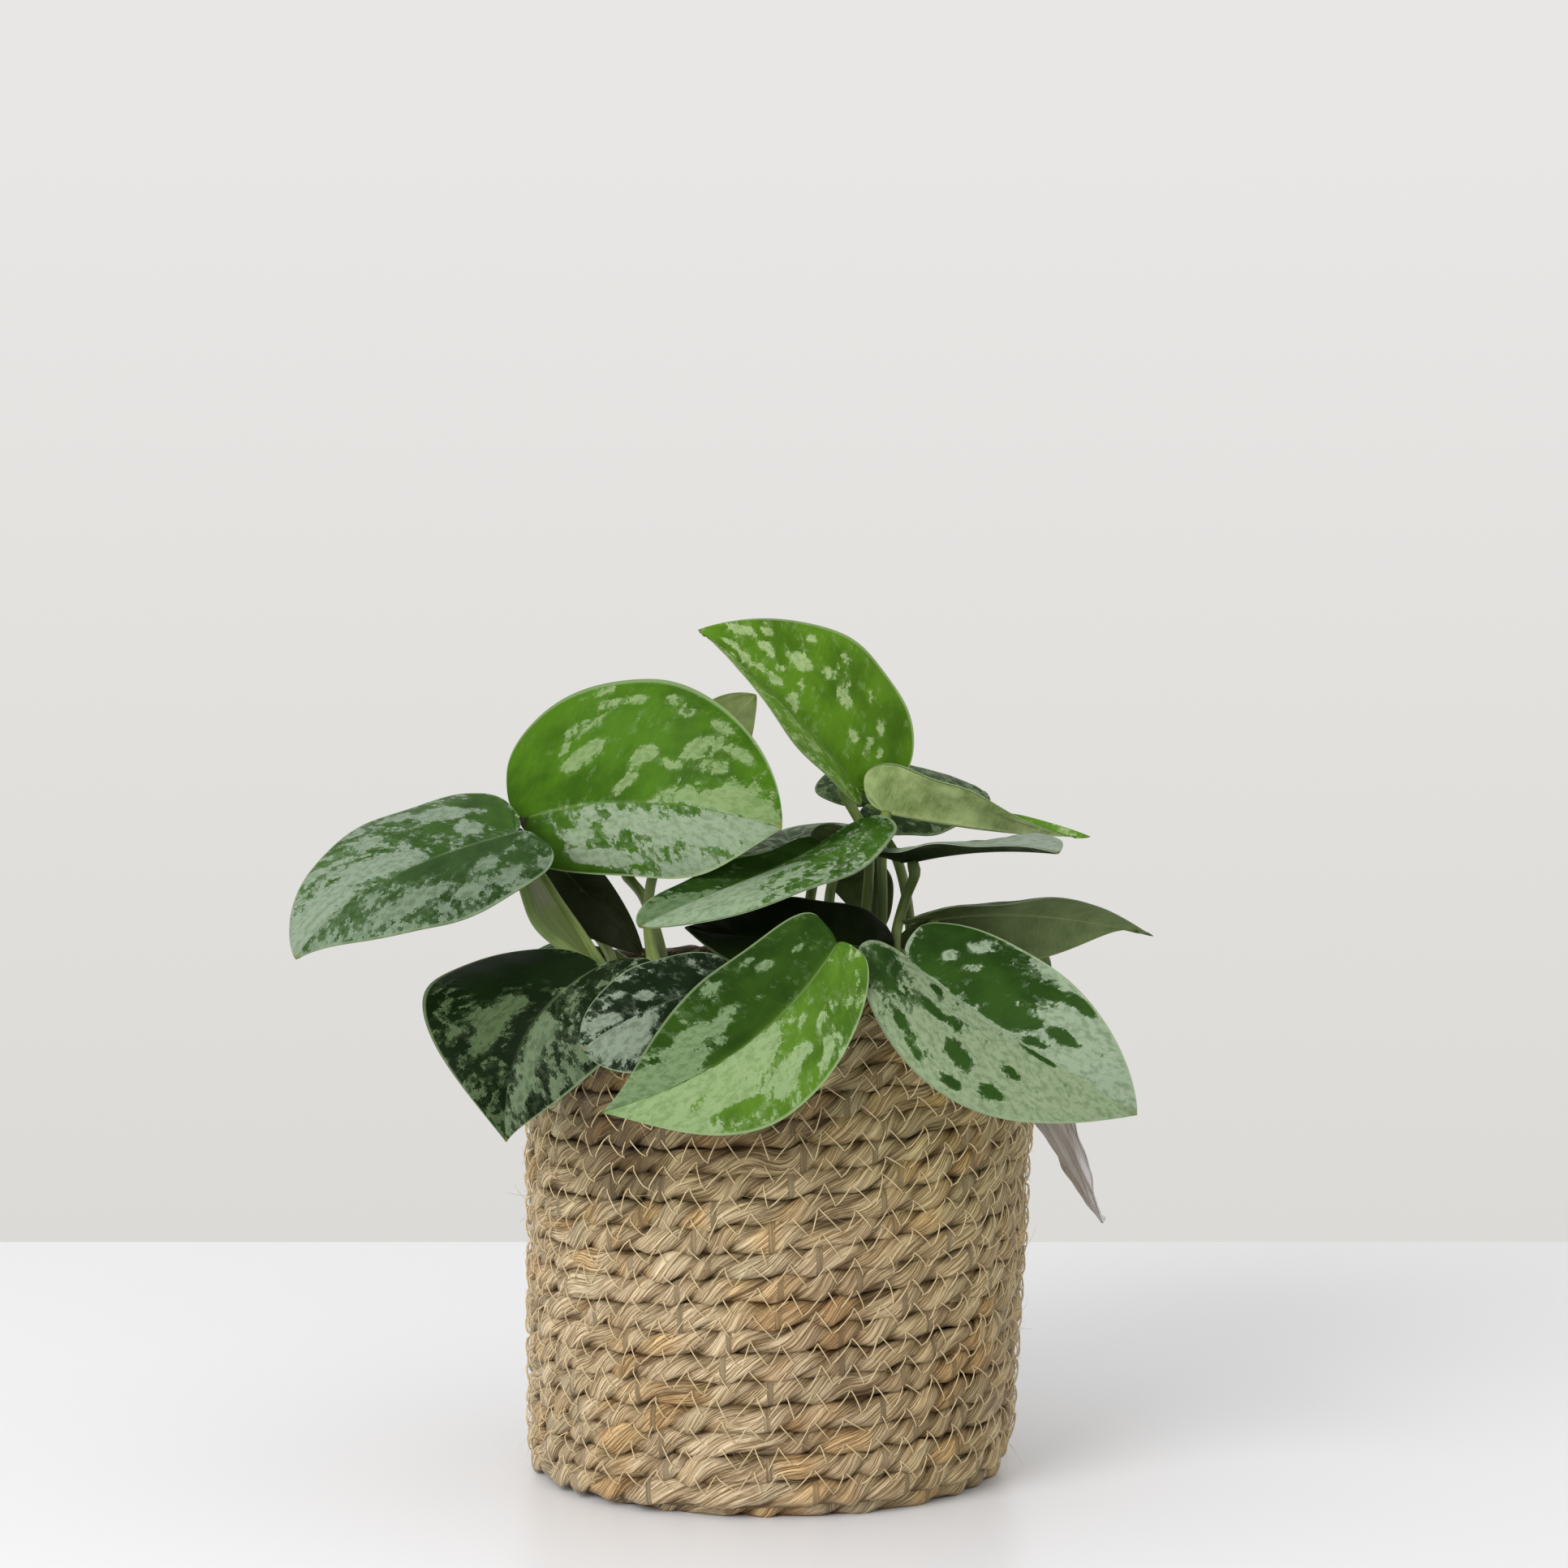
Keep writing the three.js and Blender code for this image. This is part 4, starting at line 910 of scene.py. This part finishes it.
# Each cane's points, and those of its petioles, from the cane to just short of their blades.
CANES = {
    "stem_1_left": dict(
        cane=[(-36, -10, 100), (-37, -12, 118), (-42, -18, 132), (-46, -22, 143)],
        petioles={
            "leaf_01_far_left": [(-46, -22, 142), (-56, -21, 149), (-64, -20, 156), (-68, -18, 166)],
            "leaf_02_round_upright": [(-45, -18, 140), (-52, -9, 151), (-61, -1, 163), (-67, 1, 174)],
            "leaf_09_low_left": [(-44, -21, 138), (-45, -32, 142), (-46, -42, 142.5)],
            "leaf_16_inner_left": [(-41, -15, 130), (-46, 8, 146), (-64, 24, 164)],
        }),
    "stem_2_inner": dict(
        cane=[(-28, -2, 100), (-29, -4, 120), (-31, -7, 140)],
        petioles={
            "leaf_04_behind_round": [(-31, -7, 138), (-34, 4, 152), (-33, 16, 166)],
            "leaf_17_back_left": [(-29, -4, 124), (-30, 8, 142), (-36, 28, 158)],
            "leaf_21_back_low_left": [(-28, -2, 116), (-34, 18, 132), (-45, 35, 141)],
        }),
    "stem_3_front": dict(
        cane=[(6, -12, 100), (8, -14, 120), (10, -16, 138)],
        petioles={
            "leaf_05_middle": [(9, -15, 128), (10, -6, 148), (12, 4, 164)],
            "leaf_06_shaded": [(9, -16, 132), (20, -20, 142), (29, -26, 146)],
            "leaf_07_front": [(10, -16, 132), (14, -32, 136), (17.5, -50, 136.5), (17.8, -62, 146)],
            "leaf_08_behind_front": [(8, -14, 124), (-2, -34, 136), (-9, -56, 143)],
        }),
    "stem_4_tall": dict(
        cane=[(22, 2, 100), (23, 0, 120), (25, -3, 140)],
        petioles={
            "leaf_03_top": [(25, -3, 138), (27, 6, 156), (27.5, 14, 176)],
            "leaf_12_young": [(24, -2, 132), (31, 6, 150), (31.5, 8, 172)],
            "leaf_15_hanging": [(23, 0, 124), (17, 10, 146), (18, 22, 164)],
            "leaf_18_back": [(22, 2, 112), (12, 22, 140), (4, 36, 160)],
        }),
    "stem_5_right": dict(
        cane=[(36, -6, 100), (37, -8, 120), (37, -12, 138)],
        petioles={
            "leaf_10_low_right": [(37, -12, 136), (44, -30, 142), (43, -50, 144)],
            "leaf_11_right": [(37, -10, 130), (41, -8, 144)],
            "leaf_14_level": [(37, -12, 136), (35, -9, 150), (38, -6, 162)],
            "leaf_13_behind_young": [(37, -8, 122), (40, 10, 146), (36, 24, 170)],
        }),
    "stem_6_back": dict(
        cane=[(16, 26, 100), (18, 28, 120), (22, 30, 134)],
        petioles={
            "leaf_19_back_right": [(22, 30, 132), (38, 33, 140), (47, 37, 142)],
            "leaf_20_back_low": [(18, 28, 124), (14, 44, 137), (14, 57, 141.5)],
            "leaf_22_withered": [(20, 29, 126), (38, 38, 141), (52, 47, 144.5), (60, 50, 140)],
        }),
}
# A petiole has a sheath at its cane, a knee at its blade and a groove, each given as its height,
# place and width. Its last points lie below its blade's base by meets. Low down, from the first
# height of earthy to the second, all stems turn to the soil's brown.
STEM = dict(
    petiole=1.5, cane=3.0, sides=14, step=1.2, meets=(3.9, 0.9, 0.2), sheath=(0.75, 0, 0.16),
    knee=(0.22, 0.94, 0.05), groove=(0.13, math.pi / 2, 0.45), nodes=(0.35, 0.62, 0.86),
    earthy=(132, 108))


def petiole_line(points, leaf_name, count=None):
    """A petiole's centre line, from its cane to the underside of its blade."""
    leaf = {**LEAF_DEFAULTS, **LEAVES[leaf_name]}
    frame = blade_frame(leaf)
    ahead, further = blade_points(leaf, frame, 0, np.array((1.0, 2.0)), np.zeros(2))
    midrib = unit(further - ahead)
    square = unit(frame["up"] - midrib * frame["up"].dot(midrib))
    path = np.vstack([points, *(ahead - square * below for below in STEM["meets"])])
    return smooth_curve(path, count or max(8, int(lengths_along(path)[-1] / STEM["step"])))


def petiole_mesh(points, leaf_name):
    centres = petiole_line(points, leaf_name)
    share = np.linspace(0, 1, len(centres))
    swell = bell(share, *STEM["sheath"]) + bell(share, *STEM["knee"])
    radii = STEM["petiole"] * (1.04 - 0.08 * share + swell)
    return tube(centres, radii, STEM["sides"], shape=lambda angle: 1 - bell(angle, *STEM["groove"]))


def cane_mesh(points):
    centres = smooth_curve(points, 30)
    share = np.linspace(0, 1, len(centres))
    nodes = sum(bell(share, 1, at, 0.03) for at in STEM["nodes"])
    return tube(centres, STEM["cane"] * (1 - 0.2 * share + 0.1 * nodes), STEM["sides"])


def stem_material():
    mat = Shader("stem", 0.42, 0.4)
    place = mat.coordinates("Object")
    tone = mat.noise(place, 45)
    streak = mat.noise(mat.coordinates(), (0.9, 0.05, 1))
    green = mat.mix(mat.ramp(tone, 0.3, 0.7), (98, 120, 56), (138, 156, 88))
    green = mat.mix(mat.ramp(streak, 0.45, 0.7, 0.0, 0.5), green, (70, 86, 44))
    low = mat.ramp(mat.split(place)[2], *metres(*STEM["earthy"]), 0.0, 0.7)
    return mat.finished(mat.mix(low, green, (96, 88, 54)), streak, 0.3, 0.3)


# The two petioles that share a node are joined low down by the open sheath of the younger one.
# Low down it swells to the front; higher up it lies open, hollow to the front.
SHEATH = dict(
    petioles=("leaf_01_far_left", "leaf_02_round_upright"), low=0.06, high=0.92, scoop=0.12,
    bulge=1.6, swell_at=(0, 0.15, 0.5, 1), swell=(-0.6, -1.5, -1.3, 1), front=(0.35, 0.9, 0.0),
    thick=0.35, rows=26, columns=14, steps=200)


def sheath_material():
    mat = Shader("sheath", 0.5, 0.3)
    across, along, _ = mat.split(mat.coordinates())
    streak = mat.noise(mat.coordinates(), (30, 1, 1))
    inner = mat.mix(mat.ramp(streak, 0.35, 0.7), (104, 110, 78), (138, 144, 110))
    out = mat.math("ABSOLUTE", mat.math("MULTIPLY_ADD", across, 2.0, -1.0))
    inner = mat.mix(mat.ramp(out, 0.6, 0.95), inner, (122, 142, 76))
    green = mat.mix(mat.ramp(streak, 0.35, 0.7), (98, 116, 56), (116, 134, 70))
    bend = mat.math("MULTIPLY_ADD", out, 0.2, along)
    return mat.finished(mat.mix(mat.ramp(bend, 0.62, 0.7), green, inner), streak, 0.2, 0.2)


def make_sheath():
    petioles = CANES["stem_1_left"]["petioles"]
    rows, columns, steps = SHEATH["rows"], SHEATH["columns"], SHEATH["steps"]
    left, right = (petiole_line(petioles[name], name, steps) for name in SHEATH["petioles"])
    across, along = np.linspace(0, 1, columns), np.linspace(0, 1, rows)[:, None]
    top = SHEATH["high"] - SHEATH["scoop"] * np.sin(math.pi * across) ** 0.7
    share = SHEATH["low"] + (top - SHEATH["low"]) * along
    number = (share * (steps - 1)).astype(int)
    sheet = left[number] * (1 - across[:, None]) + right[number] * across[:, None]
    swell = np.interp(along, SHEATH["swell_at"], SHEATH["swell"])
    bulge = SHEATH["bulge"] * np.sin(math.pi * across) * swell
    sheet = sheet + bulge[..., None] * np.array(SHEATH["front"])
    ids = np.arange(rows * columns).reshape(rows, columns)
    front = np.stack([ids[:-1, :-1], ids[:-1, 1:], ids[1:, 1:], ids[1:, :-1]], -1).reshape(-1, 4)
    normals = normals_of(sheet, front.tolist()) * SHEATH["thick"] / 2
    points = sheet.reshape(-1, 3)
    count = len(points)
    outline = [*ids[0, :-1], *ids[:-1, -1], *ids[-1, :0:-1], *ids[:0:-1, 0]]
    faces = front.tolist() + (front[:, ::-1] + count).tolist()
    faces += [[int(b), int(a), int(a) + count, int(b) + count]
              for a, b in zip(outline, np.roll(outline, -1))]
    place = np.stack(np.broadcast_arrays(across, along), -1).reshape(-1, 2)
    place = np.tile(place, (2, 1))
    uv = np.vstack([place[face] for face in faces])
    part_piece("stem_1_sheath", "stem_1_left", "stem",
               np.vstack([points + normals, points - normals]), faces, [sheath_material()], uv=uv)


def make_stems():
    material = stem_material()
    make_sheath()
    for name, cane in CANES.items():
        petioles = [petiole_mesh(points, leaf) for leaf, points in cane["petioles"].items()]
        joined_piece(name, name, "stem", [cane_mesh(cane["cane"]), *petioles], material)


# ---------------------------------------------------------------- basket

# Painted shade: the upper rows are darkened and greyed as the leaves' shade, over the heights given
# second to last, and the rope on the right is darkened and yellowed as shade and green light
# thrown back by the leaves, over the places given last.
BASKET = dict(
    height=140, lean=4, bottom=68, top=72, rows=20, corner=3, slope=0.05, leaf_shade=(60, 110),
    right_side_shade=(10, 55))
PITCH = BASKET["height"] / BASKET["rows"]
# half is half the rope's thickness; offset and strand are a strand's distance from its middle and
# its radius, and spread and square give the strand its shape. eye is the floor's first radius in
# halves; the wall starts at the angle start; at its end the rope thins over taper and rises.
ROPE = dict(
    half=3.75, offset=1.35, strand=2.45, spread=0.6, square=0.78, twist=29.0, sides=12, step=1.7,
    end=1.4, taper=70, eye=1.2, start=100, end_rise=2.5, uneven_up=0.45, uneven_out=0.55,
    uneven_twist=2.2, uneven_offset=0.12, uneven_strand=0.16, lumps=0.06, uv_pace=0.01, uv_gap=300)
CORE = dict(deep=0.9, high=3.5, sides=8, skip=2)
THREAD = dict(
    radius=0.17, period=9.0, reach=3.6, proud=0.5, sides=5, jitter=0.36, heights=(0.55, 1.2),
    dive=1.7, points=6, seed=77)
FUZZ = dict(
    count=900, lengths=(3, 11), long_ones=26, long_lengths=(14, 22), radius=0.055, sides=3,
    points=6, lowest=0.3, sunk=0.4, foot=2.6, sideways=(0.5, 1), tilt=0.6, lift=(0.15, 0.6),
    droop=0.3, bend=0.5, curve=0.6, seed=5)
# Painted shade: the rope is darkened round a pressed place below the rim.
DENT_SHADE = dict(place=(-40, -57, 96), reach=22, core=6.6)  # a darker, pressed place below the rim
BAND_ENDS = (6.5, 13)  # the turns of the wall at which one of its pieces ends and the next starts


def wall_radius(z):
    crest = BASKET["bottom"] + (BASKET["top"] - BASKET["bottom"]) * z / BASKET["height"]
    corner = BASKET["corner"] * np.maximum(0, 1 - z / (1.5 * PITCH)) ** 2
    return crest - corner


# The rope is one line: a flat spiral from the middle of the floor, then up the wall turn by turn.
BASE_TURNS = (wall_radius(ROPE["half"]) - ROPE["half"] - ROPE["eye"] * ROPE["half"]) / PITCH
WALL_TURNS = BASKET["rows"] - 1


def rope_line(turns):
    """The rope's centre at each number of turns from the middle of the floor."""
    up = turns - BASE_TURNS
    z = ROPE["half"] + PITCH * np.clip(up, 0, WALL_TURNS)
    z = z + ROPE["end_rise"] * np.clip(up - WALL_TURNS, 0, 1)
    flat = ROPE["half"] * ROPE["eye"] + PITCH * turns
    radius = np.where(up < 0, flat, wall_radius(z) - ROPE["half"])
    angle = 2 * math.pi * (turns - BASE_TURNS) + math.radians(ROPE["start"])
    level = np.clip(z / BASKET["height"], 0, 1)
    z = z + BASKET["slope"] * radius * np.cos(angle) * np.sin(math.pi * level)
    z = z + ROPE["uneven_up"] * wander(turns, 4, 8, 2.3) * np.clip(up - 0.2, 0, 1)
    radius = radius + ROPE["uneven_out"] * wander(turns, 9, 9, 1.7)
    x = BASKET["lean"] * z / BASKET["height"] + radius * np.cos(angle)
    return np.stack([x, radius * np.sin(angle), z], axis=1), angle


def rope_samples():
    """Turns at even steps along the rope, and how far along it they lie."""
    turns = np.linspace(0, BASE_TURNS + WALL_TURNS + ROPE["end"] * 0.5, 40000)
    length = lengths_along(rope_line(turns)[0])
    wanted = np.arange(0, length[-1], ROPE["step"])
    return np.interp(wanted, length, turns), wanted


def strand_meshes(turns, length, whole):
    """The rope's two strands over one stretch of the line, and how proud each point stands."""
    centres, angle = rope_line(turns)
    outward = outward_of(angle)
    taper = np.clip((whole - length) / ROPE["taper"], 0.25, 1)
    twist = 2 * math.pi * length / ROPE["twist"] + ROPE["uneven_twist"] * wander(length, 21, 9, 220)
    around = ring_angles(ROPE["sides"])
    # Each strand is a little squarer than round, as it is pressed on its neighbours.
    ahead, aloft = (
        np.sign(wave) * np.abs(wave) ** ROPE["square"] for wave in (np.cos(around), np.sin(around)))
    parts, prouds = [], []
    for strand in (0, 1):
        phase = twist + math.pi * strand
        wanders = wander(length, 31 + strand, 6, 50), wander(length, 41 + strand, 8, 60)
        offset = ROPE["offset"] * taper * (1 + ROPE["uneven_offset"] * wanders[0])
        thick = ROPE["strand"] * taper * (1 + ROPE["uneven_strand"] * wanders[1])
        middle = (centres + outward * (offset * np.cos(phase))[:, None]
                  + UP * (offset * np.sin(phase))[:, None])
        lumps = 1 + ROPE["lumps"] * np.sin(3 * around[None] + length[:, None] * 0.21 + strand)
        reach = thick[:, None] * lumps
        # A strand spreads where it lies over the other, so that the rows close up.
        spread = 1 + ROPE["spread"] * np.cos(phase) ** 2
        points = (middle[:, None]
                  + (reach * ahead)[..., None] * outward[:, None]
                  + (reach * spread[:, None] * aloft)[..., None] * UP)
        faces, uv = wrapped_grid(len(length), ROPE["sides"], flip=True)
        turn = twist[uv[:, 1].astype(int)] / (2 * math.pi)
        along = (length[0] + uv[:, 1] * ROPE["step"]) * ROPE["uv_pace"] + ROPE["uv_gap"] * strand
        uv = np.stack([uv[:, 0] / ROPE["sides"] - turn % 1, along], axis=1)
        parts.append((points.reshape(-1, 3), faces, uv))
        proud = (offset * np.cos(phase))[:, None] + reach * ahead
        prouds.append(proud.ravel() / (ROPE["offset"] + ROPE["strand"]))
    return joined_meshes(parts), np.concatenate(prouds)


def core_mesh(turns):
    """The packed fibre inside the rope, which closes the gaps between its strands."""
    centres, angle = rope_line(turns)
    around = ring_angles(CORE["sides"])
    points = (centres[:, None]
              + (CORE["deep"] * np.cos(around))[None, :, None] * outward_of(angle)[:, None]
              + (CORE["high"] * np.sin(around))[None, :, None] * UP)
    faces, places = wrapped_grid(len(turns), CORE["sides"], flip=True)
    return points.reshape(-1, 3), faces, places * (1 / CORE["sides"], 0.04)


def rope_material():
    mat = Shader("rope", 0.42, 0.45)
    around, along, _ = mat.split(mat.coordinates())
    turn = mat.math("MULTIPLY", around, 2 * math.pi)
    ring = mat.joined(mat.math("COSINE", turn), mat.math("SINE", turn), along)
    wide = mat.scaled(ring, (7, 7, 9))
    fibre = mat.noise(wide, detail=4.0, roughness=0.7)
    coarse = mat.noise(wide, (0.28, 0.28, 0.8), 2.0)
    batch = mat.noise(mat.joined(along), (2.2, 1, 1), 2.0)
    base = mat.mix(mat.ramp(fibre, 0.4, 0.6), (128, 102, 62), (241, 220, 182))
    base = mat.tinted(mat.ramp(batch, 0.5, 0.6, 0.0, 0.9), base, 0.98, 0.82, 0.58)
    base = mat.tinted(mat.ramp(batch, 0.46, 0.38, 0.0, 0.8), base, 0.82, 0.86, 0.86)
    base = mat.mix(mat.ramp(coarse, 0.58, 0.36, 0.0, 0.4), base, (132, 104, 70))
    place = mat.coordinates("Object")
    sideways, _, height = mat.split(place)
    stain = mat.noise(place, 17, distortion=0.6)
    base = mat.tinted(mat.ramp(stain, 0.5, 0.68, 0.0, 0.8), base, 0.62, 0.54, 0.46)
    # Painted shade of the pressed place, darkest at its middle.
    away = mat.distance(place, metres(*DENT_SHADE["place"]))
    dent_shade = mat.ramp(away, *metres(DENT_SHADE["reach"], DENT_SHADE["core"]), 0.0, 0.9)
    base = mat.tinted(dent_shade, base, 0.34, 0.3, 0.24)
    # Painted shade: darker where a strand stands less proud, in the creases between strands and rows.
    crease = mat.ramp(mat.attribute("proud"), 0.85, 0.2)
    base = mat.tinted(crease, base, 0.34, 0.28, 0.18)
    leaf_shade, right_side_shade = metres(*BASKET["leaf_shade"]), metres(*BASKET["right_side_shade"])
    # Painted shade: darker and greyer high up, where the leaves shade the rows.
    base = mat.tinted(mat.ramp(height, *leaf_shade), base, 0.74, 0.76, 0.62)
    # Painted shade and green light thrown back by the leaves: darker and yellower on the right.
    base = mat.tinted(mat.ramp(sideways, *right_side_shade), base, 0.93, 0.92, 0.76)
    return mat.finished(base, mat.total(fibre, (coarse, 0.8)), 1.0, 0.7)


def make_thread(material):
    """The thread that zigzags over each seam between a turn of rope and the next."""
    parts = []
    draw = np.random.RandomState(THREAD["seed"])
    around = 2 * math.pi * float(wall_radius(BASKET["height"] / 2))
    legs = int(round(around / (THREAD["period"] / 2)))
    number = np.arange(legs + 1)
    share = np.linspace(0, 1, THREAD["points"])
    dive = THREAD["proud"] - THREAD["dive"] * np.abs(2 * share - 1) ** 4
    for row in range(WALL_TURNS):
        jitter = draw.uniform(-THREAD["jitter"], THREAD["jitter"], legs + 1)
        knots = BASE_TURNS + row + (number + jitter) / legs
        heights = np.where(number % 2, 1, -1) * draw.uniform(*THREAD["heights"], legs + 1)
        for leg in range(legs):
            turns = knots[leg] + (knots[leg + 1] - knots[leg]) * share
            below, angle = rope_line(turns)
            above, _ = rope_line(turns + 1)
            reach = heights[leg] + (heights[leg + 1] - heights[leg]) * share
            centres = ((below + above) / 2
                       + (above - below) * (reach * THREAD["reach"] / PITCH)[:, None]
                       + outward_of(angle) * (ROPE["half"] + dive)[:, None])
            parts.append(tube(centres, THREAD["radius"], THREAD["sides"], cap=False))
    joined_piece("basket_thread", "basket", "rope", parts, material)


def make_fuzz(material):
    """Loose fibres that stand off the rope."""
    draw = np.random.RandomState(FUZZ["seed"])
    either_way = lambda name, *count: draw.uniform(-FUZZ[name], FUZZ[name], *count)
    t = np.linspace(0, 1, FUZZ["points"])[:, None]
    radii = FUZZ["radius"] * np.linspace(1, 0.4, FUZZ["points"])
    parts = []
    for index in range(FUZZ["count"]):
        turn = BASE_TURNS + draw.uniform(0.1, WALL_TURNS)
        centre, angle = rope_line(np.array([turn]))
        outward = outward_of(angle)[0]
        sideways = np.cross(UP, outward)
        lengths = FUZZ["long_lengths" if index < FUZZ["long_ones"] else "lengths"]
        length = draw.uniform(*lengths)
        heading = sideways * draw.choice((-1, 1)) * draw.uniform(*FUZZ["sideways"])
        heading = heading + UP * either_way("tilt")
        lift = outward * draw.uniform(*FUZZ["lift"])
        curve = either_way("bend", 3) * FUZZ["curve"] - outward * FUZZ["droop"]
        foot = centre[0] + outward * (ROPE["half"] - FUZZ["sunk"]) + UP * either_way("foot")
        line = foot + length * ((heading + lift) * t + curve * t**2)
        line[:, 2] = np.maximum(line[:, 2], FUZZ["lowest"])
        parts.append(tube(line, radii, FUZZ["sides"], cap=False))
    joined_piece("basket_fuzz", "basket", "rope", parts, material)


def make_basket():
    inside = mottled(
        "rope_inside", 0.8, 0.2, (160, 160, 1500), 3.0, (84, 64, 42), (130, 104, 70), 0.8, 0.5)
    materials = [rope_material(), inside]
    turns, length = rope_samples()
    names = ("basket_floor", "basket_wall_low", "basket_wall_middle", "basket_wall_top")
    ends = [0, BASE_TURNS, *(BASE_TURNS + end for end in BAND_ENDS), turns[-1] + 1]
    for name, low, high in zip(names, ends, ends[1:]):
        first = max(0, np.searchsorted(turns, low) - 1)
        last = np.searchsorted(turns, high)
        strands, proud = strand_meshes(turns[first:last], length[first:last], length[-1])
        core = core_mesh(turns[first:last:CORE["skip"]])
        points, faces, uv = joined_meshes([strands, core])
        points[:, 2] = np.maximum(points[:, 2], 0)  # pressed flat where it rests on the table
        piece = part_piece(name, "basket", "rope", points, faces, materials, uv=uv,
                           face_materials=np.repeat((0, 1), (len(strands[1]), len(core[1]))))
        give_values(piece, proud=np.concatenate([proud, np.zeros(len(core[0]))]))
    thread = mottled("thread", 0.6, 0.5, 300, 2.0, (166, 144, 104), (226, 208, 166))
    make_thread(thread)
    make_fuzz(thread)


# ---------------------------------------------------------------- pot and soil

POT = dict(bottom=8.6, top=124, bottom_radius=44, top_radius=57.5, wall=1.4, lip=9,
           lip_width=1.6, centre=3, columns=96)
SOIL = dict(
    top=112, bottom=60, mound=2.5, gap=1.6, inset=6, rings=34, columns=110, rough=0.7,
    crumbs=0.35, clods=420, white_every=9, clod=(1.0, 3.4), perlite=(0.8, 1.7),
    stretch=(0.55, 1.25), lumps=0.22, seed=12)


def make_pot():
    rim, low, below = POT["top_radius"], POT["bottom"], POT["top"] - POT["lip"]
    inner_rim = rim - POT["lip_width"]
    slope = (inner_rim - POT["bottom_radius"]) / (below - low)
    outer = lambda z: POT["bottom_radius"] + slope * (z - low)
    profile = [
        (0.01, low), (POT["bottom_radius"] - 2, low), (POT["bottom_radius"] - 0.5, low + 0.3),
        (outer(low + 2), low + 2), (outer(below - 0.6), below - 0.6), (rim - 0.3, below),
        (rim, below + 0.5), (rim, POT["top"] - 0.6), (rim - 0.3, POT["top"] - 0.1),
        (inner_rim + 0.3, POT["top"]), (inner_rim, POT["top"] - 0.5),
        (inner_rim - 0.1, below), (outer(below) - POT["wall"], below - 2),
        (outer(low + 3) - POT["wall"], low + 3), (0.01, low + POT["wall"]),
    ]
    points = [
        (POT["centre"] + radius * math.cos(angle), radius * math.sin(angle), z)
        for radius, z in profile for angle in ring_angles(POT["columns"])]
    faces, uv = wrapped_grid(len(profile), POT["columns"])
    mat = Shader("pot", 0.5, 0.4)
    place = mat.coordinates("Object")
    grime = mat.ramp(mat.noise(place, 60, 5.0), 0.4, 0.7)
    look = mat.finished(mat.mix(grime, (26, 26, 27), (48, 45, 42)), mat.noise(place, 900, 2.0),
                        0.15, 0.3)
    part_piece("grow_pot", "grow_pot", "pot", points, faces, [look], uv=uv, crease=40)


def soil_material():
    mat = Shader("soil", 0.95, 0.2)
    place = mat.coordinates("Object")
    crumb = mat.noise(place, 420, 5.0, 0.7)
    base = mat.mix(mat.ramp(crumb, 0.35, 0.7), (38, 27, 20), (92, 70, 50))
    patch = mat.ramp(mat.noise(place, 90), 0.5, 0.7, 0.0, 0.5)
    return mat.finished(mat.mix(patch, base, (64, 46, 32)), crumb, 0.9, 1.2)


def ball():
    """A small ball of triangles."""
    shape = bmesh.new()
    bmesh.ops.create_icosphere(shape, subdivisions=2, radius=1)
    points = np.array([vertex.co for vertex in shape.verts])
    faces = [[vertex.index for vertex in face.verts] for face in shape.faces]
    shape.free()
    return points, faces


def make_soil():
    radius = POT["top_radius"] - POT["lip_width"] - POT["wall"] - SOIL["gap"]
    draw = np.random.RandomState(SOIL["seed"])
    rings, columns = SOIL["rings"], SOIL["columns"]
    angle = ring_angles(columns)

    def ring_at(away, z):
        return np.stack([POT["centre"] + away * np.cos(angle), away * np.sin(angle), z], axis=1)

    rows = [ring_at(radius - SOIL["inset"], np.full(columns, float(SOIL["bottom"])))]
    for ring in range(rings):
        share = 1 - ring / rings
        x, y = radius * share * np.cos(angle), radius * share * np.sin(angle)
        rough = wander(x + 3 * y, 60, 6, 37) + wander(y - 2 * x, 61, 6, 29)
        crumbs = draw.uniform(-SOIL["crumbs"], SOIL["crumbs"], columns)
        z = SOIL["top"] + SOIL["mound"] * (1 - share) + rough * SOIL["rough"] + crumbs
        rows.append(ring_at(radius * share, z))
    middles = [rows[0].mean(axis=0), rows[-1].mean(axis=0)]
    faces, _ = wrapped_grid(rings + 1, columns)
    count = (rings + 1) * columns
    faces += fan(np.arange(columns), count, True)
    faces += fan(np.arange(columns) + rings * columns, count + 1)
    part_piece("soil", "soil", "soil", np.vstack([*rows, middles]), faces, [soil_material()])
    shape, shape_faces = ball()
    clods, perlite = [], []
    for index in range(SOIL["clods"]):
        away, turn = radius * math.sqrt(draw.uniform(0, 0.97)), draw.uniform(0, 2 * math.pi)
        white = index % SOIL["white_every"] == 0
        size = draw.uniform(*SOIL["perlite" if white else "clod"])
        stretch = draw.uniform(*SOIL["stretch"], 3) * size
        waves = np.sin(shape * 3.1 + draw.uniform(0, 6, 3)).sum(axis=1, keepdims=True)
        axis = unit(draw.normal(size=3))
        spin = draw.uniform(0, math.pi)
        lump = shape * (1 + SOIL["lumps"] * waves) * stretch
        lump = (lump * math.cos(spin) + np.cross(axis, lump) * math.sin(spin)
                + np.outer(lump @ axis, axis) * (1 - math.cos(spin)))
        ground = SOIL["top"] + SOIL["mound"] * (1 - away / radius) + size * 0.15
        place = (POT["centre"] + away * math.cos(turn), away * math.sin(turn), ground)
        (perlite if white else clods).append((lump + place, shape_faces, np.zeros((0, 2))))
    # The clods have the plain look that the packed soil came with, a little apart from the mound's.
    plain_look = bpy.data.materials["soil"]
    white_look = mottled("perlite", 0.85, 0.5, 500, 3.0, (176, 168, 152), (226, 222, 212))
    for name, lumps, look in (
            ("soil_clods", clods, plain_look), ("soil_perlite", perlite, white_look)):
        points, faces, _ = joined_meshes(lumps)
        part_piece(name, "soil", "soil", points, faces, [look])


make_camera()
make_world()
make_light()
make_table()
make_basket()
make_pot()
make_soil()
make_stems()
make_leaves()
